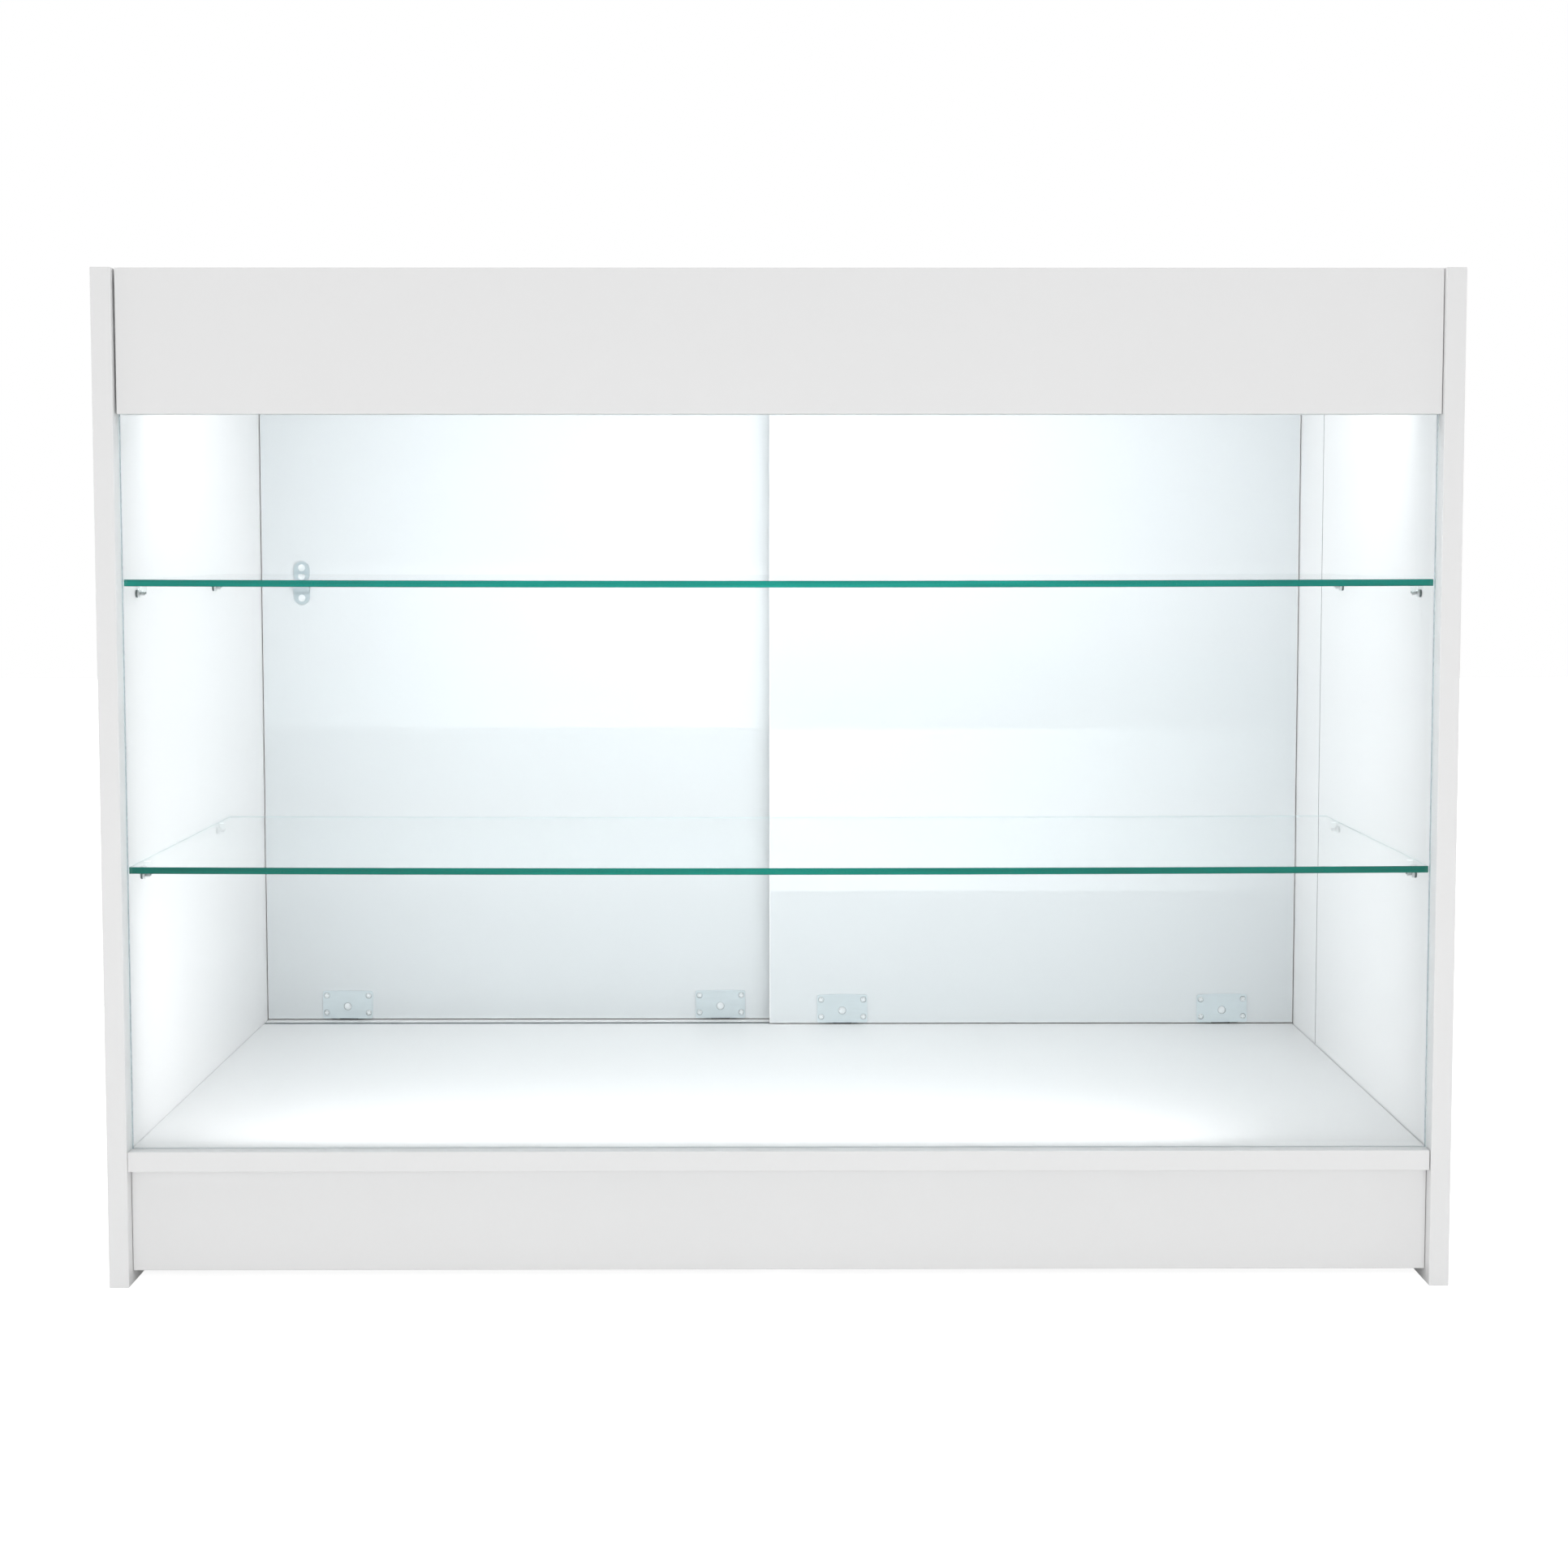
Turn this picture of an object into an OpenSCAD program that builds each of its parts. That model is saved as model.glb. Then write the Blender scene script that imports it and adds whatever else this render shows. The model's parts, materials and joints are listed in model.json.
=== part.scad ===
// Glass display counter: coated-board cabinet, front glass, two glass shelves, two sliding rear doors
// on rollers, a push lock and a light under the worktop. Millimetres.
// X runs to the right as the customer sees it, Y to the back, Z up. The origin is on the floor, in
// the middle of the footprint. Depths named *_in are measured back from the front plane.

/* [Cabinet] */
// Overall width
cabinet_w = 1200; // [1000:10:1400]
// Overall depth
cabinet_d = 600; // [600:5:700]
// Overall height
cabinet_h = 905; // [860:5:960]
// Thickness of the coated boards
board_t = 18; // [17:0.5:19]
// Gap left between boards where they meet the side panels
board_gap = 0.3; // [0.1:0.1:0.5]
// Gap between the deck and the right side panel
deck_gap_right = 0.7; // [0.3:0.1:1]

/* [Front] */
// Height of the fascia's lower edge above the floor
fascia_bottom = 778; // [750:1:800]
// How far the fascia's face sits behind the front plane
fascia_in = 5; // [2:1:8]
// Open joint at the fascia's left end
fascia_gap_left = 1.8; // [0.5:0.1:2.5]
// Thickness of the glass
glass_t = 6; // [5:1:8]
// How far the front glass sits behind the front plane
glass_in = 14; // [13:1:16]

/* [Base] */
// Height of the deck's top above the floor
deck_top = 123; // [110:1:140]
// How far the deck's front edge sits behind the front plane
deck_in = 1.5; // [0.5:0.5:3]
// How far the kick board sits behind the front plane
kick_in = 13; // [8:1:20]
// Gap between the kick boards and the floor
kick_clear = 12; // [6:1:20]

/* [Shelves] */
// Top of the upper shelf above the floor
upper_shelf_top = 633; // [600:1:660]
// Top of the lower shelf above the floor
lower_shelf_top = 376.5; // [350:0.5:400]
// Front edge of the shelves behind the front plane
shelf_in = 22.5; // [21:0.5:30]
// Depth of the shelves, front to back
shelf_d = 385.5; // [360:0.5:400]
// Depth of the front shelf pins behind the front plane
front_pin_in = 66; // [55:1:75]
// Depth of the rear shelf pins behind the front plane
rear_pin_in = 352; // [300:1:360]

/* [Doors] */
// Thickness of the sliding doors
door_t = 16; // [16:0.5:17]
// Inner door's face behind the front plane
inner_door_in = 550; // [546:1:550]
// Gap between the two doors as they pass
door_gap = 10; // [9:0.5:10]
// How far the doors overlap in the middle
door_overlap = 20; // [16:1:24]
// Gap between a shut door and its side panel
door_side_gap = 1; // [0.5:0.5:2]

/* [Rollers] */
// Width of a roller plate
plate_w = 57; // [55:1:60]
// Height of a roller plate
plate_h = 32; // [31:1:34]
// Radius of a door wheel
wheel_r = 19; // [18.5:0.1:19.2]
// Running clearance of a wheel on its bush
wheel_clear = 0.05; // [0.02:0.01:0.1]

/* [Lock] */
// Height of the lock above the floor
lock_z = 620.5; // [600:0.5:640]
// Travel of the lock bolt
bolt_travel = 7; // [6:0.5:7]

/* [Hidden] */
$fn = 48;
front_y = -cabinet_d / 2;
back_y = cabinet_d / 2;
side_in = cabinet_w / 2 - board_t;
board_end = side_in - board_gap;
deck_gap_left = 0.1;
worktop_low = cabinet_h - board_t;
deck_low = deck_top - board_t;
fascia_back = fascia_in + board_t;
groove_extra = 0.5;
groove_front = glass_in - groove_extra;
groove_back = glass_in + glass_t + groove_extra;
groove_deep = 5;
fascia_groove_top = fascia_bottom + 12;
glass_low = deck_top - groove_deep + 0.8;
glass_high = fascia_groove_top - 2;
glass_end = side_in - 1;
shelf_end = side_in - 1.2;
peg_r = 3.5;
peg_long = 4.5;
peg_tip_r = 1.8;
peg_reach = 8.5;
pad_h = 4;
pad_r = 3.6;
pad_from_side = 5.8;
kerf_in = 445;
kerf_w = 1.6;
kerf_deep = 1.5;

// Cam fittings and dowels
cam_x = side_in - 30;
cam_r = 7.5;
cam_h = 12.5;
cam_bolt_r = 3;
cap_t = 1;
cam_depths = [60, 500];
dowel_depths = [130, 450];
joint_heights = [deck_top - board_t / 2, cabinet_h - board_t / 2];
cam_floors = [deck_low, worktop_low];

// Corner brackets
bracket_leg = 25;
bracket_w = 20;
bracket_t = 2;
bracket_hole = 16;
bracket_screw = 14;
bracket_xs = [-420, -140, 140, 420];
screw_r = 1.75;
screw_head_r = 3.4;
screw_head_h = 1.8;

// Doors
door_low = deck_top + 1.2;
door_high = worktop_low - 13.5;
door_end = side_in - door_side_gap;
door_meet = door_overlap / 2;
door_travel = door_end - door_meet;
inner_mid = inner_door_in + door_t / 2;
outer_door_in = inner_door_in + door_t + door_gap;
outer_mid = outer_door_in + door_t / 2;
roller_xs_left = [-490, -66];
roller_xs_right = [72, 500.5];

// Rails
rail_w = 10;
rail_wall = 1.2;
rail_floor = deck_top - 3.05;
rail_low = deck_top - 4.5;
track_slot = 4;
track_wall = 1.5;
track_base = 1.5;
track_low = door_high + 2;
track_screw_xs = [-520, -260, 0, 260, 520];

// Rollers
plate_t = 1.5;
plate_low = deck_top + 1.8;
plate_screw_x = plate_w / 2 - 4.75;
plate_screw_low = plate_low + 7;
plate_screw_high = plate_low + plate_h - 5.5;
axle_z = rail_floor + 0.05 + wheel_r;
axle_r = 2.5;
axle_head_r = 4.25;
axle_head_h = 2;
bush_r = 4;
wheel_t = 5;
kerf_half = 4;
kerf_r = wheel_r + 1.3;
notch_half = 18;
notch_high = plate_low + plate_h - 6;

// Top guides
guide_w = 30;
guide_base = 10;
guide_tongue = 7.6;

// Finger pulls
pull_x = 536;
pull_z = 500;
pull_r = 17.5;
pull_deep = 11;
pull_rim_r = 19.5;
pull_rim_t = 1;

// Lock
lock_x = -536;
flange_w = 17.6;
flange_h = 48.6;
flange_t = 1.5;
boss_h = 20;
boss_proud = 6;
boss_wall = 2.5;
spring_solid = 4.2;
lock_end_in = outer_door_in + door_t + 7.8;
plug_in = lock_end_in - 12.8;
barrel_r = 8;
sleeve_r = 6.5;
sleeve_bore = 5.05;
plug_r = 5;
bolt_r = 4;
lock_screw_z = 17;
ring_r = 12;
ring_t = 1.5;
strike_x = lock_x + door_travel;

// Light
channel_in = 60;
channel_w = 17;
channel_h = 8;
channel_wall = 1.2;
channel_end = 540;
channel_top = worktop_low - 1;
clip_xs = [-480, -160, 160, 480];
driver_x = -552;
driver_w = 40;
driver_front = 240;
driver_back = 390;
driver_h = 22;
lead_r = 2;
lead_bend = 10;
lead_z = channel_top - 4.5;

// Cable grommet
grommet_in = 500;
grommet_z = 840;
grommet_r = 15;
grommet_bore = 10.5;
grommet_rim_r = 19;
grommet_rim_t = 2;

// Y of a depth measured back from the front plane
function yf(depth) = front_y + depth;

// A box between two opposite corners
module block(low, high) {
    translate(low)
        cube(high - low);
}

// A cylinder that runs towards +X from its start
module along_x(start, r, length) {
    translate(start)
        rotate([0, 90, 0])
            cylinder(r = r, h = length);
}

// A cylinder that runs towards +Y from its start
module along_y(start, r, length) {
    translate(start)
        rotate([-90, 0, 0])
            cylinder(r = r, h = length);
}

// Draws its child on the right and again, mirrored, on the left
module both_sides() {
    children();
    mirror([1, 0, 0])
        children();
}

// A cross recess cut down into a screw head that faces -Z
module cross_recess(reach, width, deep) {
    for (turn = [0, 90])
        rotate([0, 0, turn])
            translate([-reach, -width / 2, -0.01])
                cube([2 * reach, width, deep + 0.01]);
}

// A round-headed screw: the shank runs to +Z from 0, the head stands below 0
module screw(r, length, head_r, head_h) {
    difference() {
        union() {
            cylinder(r = r, h = length);
            translate([0, 0, -head_h])
                cylinder(r1 = head_r * 0.8, r2 = head_r, h = head_h * 0.4);
            translate([0, 0, -head_h * 0.6])
                cylinder(r = head_r, h = head_h * 0.6);
        }
        translate([0, 0, -head_h])
            cross_recess(head_r * 0.55, head_r * 0.22, head_h * 0.75);
    }
}

// ---- Cabinet joints ----

module cam_shapes(grow_up) {
    for (level = [0, 1], depth = cam_depths)
        translate([cam_x, yf(depth), cam_floors[level]])
            cylinder(r = cam_r, h = cam_h + grow_up);
}

module cam_bolt_shapes() {
    for (z = joint_heights, depth = cam_depths)
        along_x([cam_x + 4, yf(depth), z], cam_bolt_r, side_in - cam_x + 6);
}

module dowel_shapes() {
    for (z = joint_heights, depth = dowel_depths)
        along_x([side_in - 18, yf(depth), z], 4, 30);
}

module cam_housings() {
    color("gainsboro")
        both_sides()
            difference() {
                cam_shapes(0);
                cam_bolt_shapes();
            }
}

module cam_bolts() {
    color("silver")
        both_sides()
            cam_bolt_shapes();
}

module cam_caps() {
    color("white")
        both_sides()
            for (level = [0, 1], depth = cam_depths)
                translate([cam_x, yf(depth), cam_floors[level] - cap_t])
                    cylinder(r = cam_r + 1, h = cap_t);
}

module wooden_dowels() {
    color("burlywood")
        both_sides()
            dowel_shapes();
}

// One bracket: its corner is at the origin, one leg runs to +Y and the other down
module bracket() {
    difference() {
        union() {
            block([-bracket_w / 2, 0, -bracket_t], [bracket_w / 2, bracket_leg, 0]);
            block([-bracket_w / 2, 0, -bracket_leg], [bracket_w / 2, bracket_t, 0]);
        }
        translate([0, bracket_hole, -bracket_t - 1])
            cylinder(r = screw_r, h = bracket_t + 2);
        along_y([0, -1, -bracket_hole], screw_r, bracket_t + 2);
    }
}

// The two screws of one bracket
module bracket_screw_pair() {
    translate([0, bracket_hole, -bracket_t])
        screw(screw_r, bracket_screw, screw_head_r, screw_head_h);
    translate([0, bracket_t, -bracket_hole])
        rotate([90, 0, 0])
            screw(screw_r, bracket_screw, screw_head_r, screw_head_h);
}

// The shanks of the two screws, to drill the boards
module bracket_screw_holes() {
    translate([0, bracket_hole, -bracket_t])
        cylinder(r = screw_r, h = bracket_screw);
    along_y([0, bracket_t - bracket_screw, -bracket_hole], screw_r, bracket_screw);
}

// Puts its child at every bracket's corner: under the worktop, and behind both kick boards
module at_brackets() {
    for (x = bracket_xs) {
        translate([x, yf(fascia_back), worktop_low])
            children();
        translate([x, yf(kick_in + board_t), deck_low])
            children();
        translate([x, back_y - kick_in - board_t, deck_low])
            rotate([0, 0, 180])
                children();
    }
}

module corner_brackets() {
    color("silver")
        at_brackets()
            bracket();
}

module bracket_screws() {
    color("silver")
        at_brackets()
            bracket_screw_pair();
}

// ---- Boards ----

module pin_holes() {
    for (top = [upper_shelf_top, lower_shelf_top], depth = [front_pin_in, rear_pin_in])
        along_x([side_in, yf(depth), top - glass_t - pad_h - peg_r], 2.5, 9);
}

// The right-hand panel without its upright joint line
module side_board() {
    difference() {
        block([side_in, front_y, 0], [cabinet_w / 2, back_y, cabinet_h]);
        cam_bolt_shapes();
        dowel_shapes();
        pin_holes();
    }
}

module side_panel_right() {
    color("white")
        difference() {
            side_board();
            block([side_in - 1, yf(kerf_in - kerf_w / 2), deck_top],
                [side_in + kerf_deep, yf(kerf_in + kerf_w / 2), worktop_low]);
        }
}

module side_panel_left() {
    color("white")
        difference() {
            mirror([1, 0, 0])
                side_board();
            along_x([-cabinet_w / 2 - 1, yf(grommet_in), grommet_z], grommet_r, board_t + 2);
            along_x([-cabinet_w / 2 - 1, yf(grommet_in), grommet_z],
                grommet_rim_r, grommet_rim_t + 1);
        }
}

module worktop() {
    color("white")
        difference() {
            block([-board_end, yf(fascia_back), worktop_low], [board_end, back_y, cabinet_h]);
            both_sides()
                cam_shapes(0);
            both_sides()
                cam_bolt_shapes();
            both_sides()
                dowel_shapes();
            at_brackets()
                bracket_screw_holes();
            track_screw_holes();
            driver_screw_holes();
        }
}

module fascia() {
    color("white")
        difference() {
            block([-side_in + fascia_gap_left, yf(fascia_in), fascia_bottom],
                [side_in - 0.5, yf(fascia_back), cabinet_h]);
            block([-cabinet_w, yf(groove_front), fascia_bottom - 1],
                [cabinet_w, yf(groove_back), fascia_groove_top]);
            at_brackets()
                bracket_screw_holes();
        }
}

module deck() {
    color("white")
        difference() {
            block([-side_in + deck_gap_left, yf(deck_in), deck_low],
                [side_in - deck_gap_right, back_y, deck_top]);
            block([-cabinet_w, yf(groove_front), deck_top - groove_deep],
                [cabinet_w, yf(groove_back), deck_top + 1]);
            for (mid = [inner_mid, outer_mid])
                block([-cabinet_w, yf(mid - rail_w / 2), rail_low],
                    [cabinet_w, yf(mid + rail_w / 2), deck_top + 1]);
            both_sides()
                cam_shapes(0);
            both_sides()
                cam_bolt_shapes();
            both_sides()
                dowel_shapes();
            at_brackets()
                bracket_screw_holes();
        }
}

module kick_board_front() {
    color("white")
        difference() {
            block([-board_end, yf(kick_in), kick_clear], [board_end, yf(kick_in + board_t), deck_low]);
            at_brackets()
                bracket_screw_holes();
        }
}

module kick_board_rear() {
    color("white")
        difference() {
            block([-board_end, back_y - kick_in - board_t, kick_clear],
                [board_end, back_y - kick_in, deck_low]);
            at_brackets()
                bracket_screw_holes();
        }
}

module deck_stretcher() {
    color("white")
        block([-board_t / 2, yf(kick_in + board_t), kick_clear],
            [board_t / 2, back_y - kick_in - board_t, deck_low]);
}

// ---- Glass ----

module front_glass() {
    color([0.85, 0.95, 0.93, 0.35])
        block([-glass_end, yf(glass_in), glass_low], [glass_end, yf(glass_in + glass_t), glass_high]);
}

module glass_gaskets() {
    color("gainsboro")
        difference() {
            union() {
                block([-glass_end, yf(groove_front), deck_top - groove_deep],
                    [glass_end, yf(groove_back), deck_top]);
                block([-side_in + fascia_gap_left, yf(groove_front), fascia_bottom],
                    [side_in - 0.5, yf(groove_back), fascia_groove_top]);
            }
            block([-cabinet_w, yf(glass_in), glass_low], [cabinet_w, yf(glass_in + glass_t), glass_high]);
        }
}

module glass_shelf(top) {
    color([0.75, 0.92, 0.88, 0.4])
        block([-shelf_end, yf(shelf_in), top - glass_t], [shelf_end, yf(shelf_in + shelf_d), top]);
}

module shelf_upper() {
    glass_shelf(upper_shelf_top);
}

module shelf_lower() {
    glass_shelf(lower_shelf_top);
}

// Collar and thin tip of one pin, outside the panel
module peg_shape() {
    along_x([side_in - peg_long, 0, 0], peg_r, peg_long);
    along_x([side_in - peg_reach, 0, 0], peg_tip_r, peg_reach);
}

// The four pins of one shelf: a spigot in the panel, then the collar and the tip
module shelf_pins(top) {
    color("silver")
        both_sides()
            for (depth = [front_pin_in, rear_pin_in])
                translate([0, yf(depth), top - glass_t - pad_h - peg_r]) {
                    along_x([side_in, 0, 0], 2.5, 9);
                    peg_shape();
                }
}

module shelf_pins_upper() {
    shelf_pins(upper_shelf_top);
}

module shelf_pins_lower() {
    shelf_pins(lower_shelf_top);
}

// Clear pads that sit on the pegs and carry the glass
module shelf_pads() {
    color([0.9, 0.95, 0.95, 0.6])
        both_sides()
            for (top = [upper_shelf_top, lower_shelf_top], depth = [front_pin_in, rear_pin_in])
                translate([0, yf(depth), top - glass_t - pad_h - peg_r])
                    difference() {
                        translate([side_in - pad_from_side, 0, 0])
                            cylinder(r = pad_r, h = pad_h + peg_r);
                        peg_shape();
                    }
}

// ---- Rails and tracks ----

module bottom_rail(mid) {
    color("silver")
        difference() {
            block([-board_end, yf(mid - rail_w / 2), rail_low], [board_end, yf(mid + rail_w / 2), deck_top]);
            block([-cabinet_w, yf(mid - rail_w / 2 + rail_wall), rail_floor],
                [cabinet_w, yf(mid + rail_w / 2 - rail_wall), deck_top + 1]);
        }
}

module bottom_rail_inner() {
    bottom_rail(inner_mid);
}

module bottom_rail_outer() {
    bottom_rail(outer_mid);
}

module track_screw_holes() {
    for (x = track_screw_xs)
        translate([x, yf((inner_mid + outer_mid) / 2), worktop_low - track_base])
            cylinder(r = screw_r, h = bracket_screw);
}

module top_track() {
    color("silver")
        difference() {
            union() {
                block([-board_end, yf(inner_mid - track_slot - track_wall), worktop_low - track_base],
                    [board_end, yf(outer_mid + track_slot + track_wall), worktop_low]);
                for (mid = [inner_mid, outer_mid], side = [-1, 1])
                    block([-board_end, yf(mid + side * (track_slot + track_wall / 2) - track_wall / 2),
                            track_low],
                        [board_end, yf(mid + side * (track_slot + track_wall / 2) + track_wall / 2),
                            worktop_low]);
            }
            track_screw_holes();
        }
}

module track_screws() {
    color("silver")
        for (x = track_screw_xs)
            translate([x, yf((inner_mid + outer_mid) / 2), worktop_low - track_base])
                screw(screw_r, bracket_screw, screw_head_r, screw_head_h);
}

// ---- Doors ----
// Door parts are drawn for a door whose inner face is at the depth face_in.

module door_panel(x_low, x_high, face_in, roller_xs) {
    difference() {
        block([x_low, yf(face_in), door_low], [x_high, yf(face_in + door_t), door_high]);
        for (x = roller_xs) {
            wheel_slot(x, face_in);
            roller_screw_shanks(x, face_in);
            axle_shank(x, face_in);
        }
        for (x = roller_xs)
            guide_base_block(x, face_in);
    }
}

// The slot for one wheel, open at the door's lower edge, with a notch behind the plate
module wheel_slot(x, face_in) {
    mid = face_in + door_t / 2;
    along_y([x, yf(mid - kerf_half), axle_z], kerf_r, 2 * kerf_half);
    block([x - kerf_r, yf(mid - kerf_half), door_low - 1], [x + kerf_r, yf(mid + kerf_half), axle_z]);
    block([x - notch_half, yf(face_in - 1), door_low - 1], [x + notch_half, yf(mid), notch_high]);
}

module at_plate_screws(x) {
    for (side = [-1, 1], z = [plate_screw_low, plate_screw_high])
        translate([x + side * plate_screw_x, 0, z])
            children();
}

module roller_screw_shanks(x, face_in) {
    at_plate_screws(x)
        along_y([0, yf(face_in - plate_t), 0], screw_r, 12);
}

module axle_shank(x, face_in) {
    along_y([x, yf(face_in - plate_t), axle_z], axle_r, plate_t + door_t - 2);
}

// A steel plate with round corners, its five holes and its lower edge just above the deck
module roller_plate(x, face_in) {
    difference() {
        translate([x, yf(face_in), plate_low + plate_h / 2])
            rotate([90, 0, 0])
                linear_extrude(plate_t)
                    round_rect(plate_w, plate_h, 2);
        roller_screw_shanks(x, face_in);
        axle_shank(x, face_in);
    }
}

// A rectangle with round corners, centred
module round_rect(w, h, r) {
    square([w - 2 * r, h], center = true);
    square([w, h - 2 * r], center = true);
    for (side = [-1, 1], end = [-1, 1])
        translate([side * (w / 2 - r), end * (h / 2 - r)])
            circle(r = r);
}

module roller_screw_set(x, face_in) {
    at_plate_screws(x)
        translate([0, yf(face_in - plate_t), 0])
            rotate([-90, 0, 0])
                screw(screw_r, 12, 3, 1);
}

module roller_axle(x, face_in) {
    translate([x, yf(face_in - plate_t), axle_z])
        rotate([-90, 0, 0])
            screw(axle_r, plate_t + door_t - 2, axle_head_r, axle_head_h);
}

module roller_bush(x, face_in) {
    mid = face_in + door_t / 2;
    difference() {
        along_y([x, yf(mid - kerf_half), axle_z], bush_r, 2 * kerf_half);
        along_y([x, yf(mid - kerf_half - 1), axle_z], axle_r, 2 * kerf_half + 2);
    }
}

// A wheel with a thick rim, a thin web with five round windows and a hub
module door_wheel(x, mid) {
    color([0.15, 0.15, 0.16])
        difference() {
            union() {
                along_y([x, yf(mid - 1), axle_z], wheel_r, 2);
                along_y([x, yf(mid - wheel_t / 2 - 0.5), axle_z], 7.5, wheel_t + 1);
                difference() {
                    along_y([x, yf(mid - wheel_t / 2), axle_z], wheel_r, wheel_t);
                    along_y([x, yf(mid - wheel_t / 2 - 1), axle_z], wheel_r - 3.5, wheel_t + 2);
                }
            }
            along_y([x, yf(mid - wheel_t), axle_z], bush_r + wheel_clear, 2 * wheel_t);
            for (turn = [0:72:288])
                translate([x, 0, axle_z])
                    rotate([0, turn, 0])
                        along_y([11.5, yf(mid - wheel_t), 0], 2.2, 2 * wheel_t);
        }
}

module guide_base_block(x, face_in) {
    mid = face_in + door_t / 2;
    block([x - guide_w / 2, yf(mid - guide_tongue / 2 - 1), door_high - guide_base],
        [x + guide_w / 2, yf(mid + guide_tongue / 2 + 1), door_high]);
}

// A guide let into the door's upper edge, with a tongue that runs in the top track
module top_guide(x, face_in) {
    mid = face_in + door_t / 2;
    guide_base_block(x, face_in);
    block([x - guide_w / 2 + 3, yf(mid - guide_tongue / 2), door_high - 0.01],
        [x + guide_w / 2 - 3, yf(mid + guide_tongue / 2), door_high + 10]);
}

// A round cup let into a door's outer face
module finger_pull(x, face_in) {
    face = face_in + door_t;
    difference() {
        union() {
            along_y([x, yf(face - pull_deep), pull_z], pull_r, pull_deep);
            along_y([x, yf(face), pull_z], pull_rim_r, pull_rim_t);
        }
        along_y([x, yf(face - pull_deep + 1.5), pull_z], pull_r - 2, pull_deep);
    }
}

module finger_pull_pocket(x, face_in) {
    along_y([x, yf(face_in + door_t - pull_deep), pull_z], pull_r, pull_deep + 1);
}

// ---- Outer door, on the left when shut ----

module door_left() {
    color("white")
        difference() {
            door_panel(-door_end, door_meet, outer_door_in, roller_xs_left);
            finger_pull_pocket(-pull_x, outer_door_in);
            along_y([lock_x, yf(outer_door_in - 1), lock_z], barrel_r, door_t + 2);
            lock_screw_shanks();
        }
}

module roller_plates_left() {
    color("lightsteelblue")
        for (x = roller_xs_left)
            roller_plate(x, outer_door_in);
}

module roller_screws_left() {
    color("silver")
        for (x = roller_xs_left)
            roller_screw_set(x, outer_door_in);
}

module roller_axles_left() {
    color("silver")
        for (x = roller_xs_left)
            roller_axle(x, outer_door_in);
}

module roller_bushes_left() {
    color("goldenrod")
        for (x = roller_xs_left)
            roller_bush(x, outer_door_in);
}

module wheel_left_a() {
    door_wheel(roller_xs_left[0], outer_mid);
}

module wheel_left_b() {
    door_wheel(roller_xs_left[1], outer_mid);
}

module top_guides_left() {
    color("whitesmoke")
        for (x = roller_xs_left)
            top_guide(x, outer_door_in);
}

module finger_pull_left() {
    color("silver")
        finger_pull(-pull_x, outer_door_in);
}

// ---- Lock ----

module lock_screw_shanks() {
    for (side = [-1, 1])
        along_y([lock_x, yf(outer_door_in - flange_t), lock_z + side * lock_screw_z], screw_r, 12);
}

// Flange and boss on the door's inner face, and the barrel that goes through the door
module lock_body() {
    boss_in = outer_door_in - boss_proud;
    ring_in = outer_door_in + door_t + ring_t;
    color("lightsteelblue")
        difference() {
            union() {
                translate([lock_x, yf(outer_door_in), lock_z])
                    rotate([90, 0, 0])
                        linear_extrude(flange_t)
                            round_rect(flange_w, flange_h, flange_w / 2 - 0.01);
                block([lock_x - flange_w / 2, yf(boss_in), lock_z - boss_h / 2],
                    [lock_x + flange_w / 2, yf(outer_door_in - flange_t), lock_z + boss_h / 2]);
                along_y([lock_x, yf(outer_door_in), lock_z], barrel_r, door_t + ring_t);
            }
            along_y([lock_x, yf(boss_in + boss_wall), lock_z], sleeve_r + 0.05, ring_in - boss_in);
            along_y([lock_x, yf(boss_in - 1), lock_z], bolt_r + 0.05, 5);
            lock_screw_shanks();
        }
}

module lock_ring() {
    color("silver")
        difference() {
            along_y([lock_x, yf(outer_door_in + door_t), lock_z], ring_r, ring_t);
            along_y([lock_x, yf(outer_door_in + door_t - 1), lock_z], barrel_r, ring_t + 2);
        }
}

module lock_screws() {
    color("silver")
        for (side = [-1, 1])
            translate([lock_x, yf(outer_door_in - flange_t), lock_z + side * lock_screw_z])
                rotate([-90, 0, 0])
                    screw(screw_r, 12, 4, 1.4);
}

// Sleeve that is pushed in by the thumb, with the bolt on its inner end
module lock_bolt() {
    tip_in = outer_door_in - boss_proud + 0.2;
    sleeve_in = outer_door_in - boss_proud + boss_wall + bolt_travel + spring_solid;
    color("silver")
        difference() {
            union() {
                along_y([lock_x, yf(tip_in), lock_z], bolt_r, sleeve_in - tip_in);
                along_y([lock_x, yf(sleeve_in), lock_z], sleeve_r, lock_end_in - sleeve_in);
            }
            along_y([lock_x, yf(plug_in - 1), lock_z], sleeve_bore, lock_end_in - plug_in + 2);
        }
}

// Keyed plug that turns in the sleeve
module lock_plug() {
    color("goldenrod")
        difference() {
            along_y([lock_x, yf(plug_in), lock_z], plug_r, lock_end_in - plug_in);
            block([lock_x - 0.8, yf(lock_end_in - 8), lock_z - 3.2],
                [lock_x + 0.8, yf(lock_end_in + 1), lock_z + 3.2]);
        }
}

// Points of one wire section of the spring, at a step along its turns
function spring_ring(step, steps, turns, coil_r, wire_r, length, sides) =
    let (turn = 360 * turns * step / steps)
    [for (k = [0:sides - 1])
        let (reach = coil_r + wire_r * cos(360 * k / sides))
        [reach * cos(turn), reach * sin(turn),
            length * step / steps + wire_r * sin(360 * k / sides)]];

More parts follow.
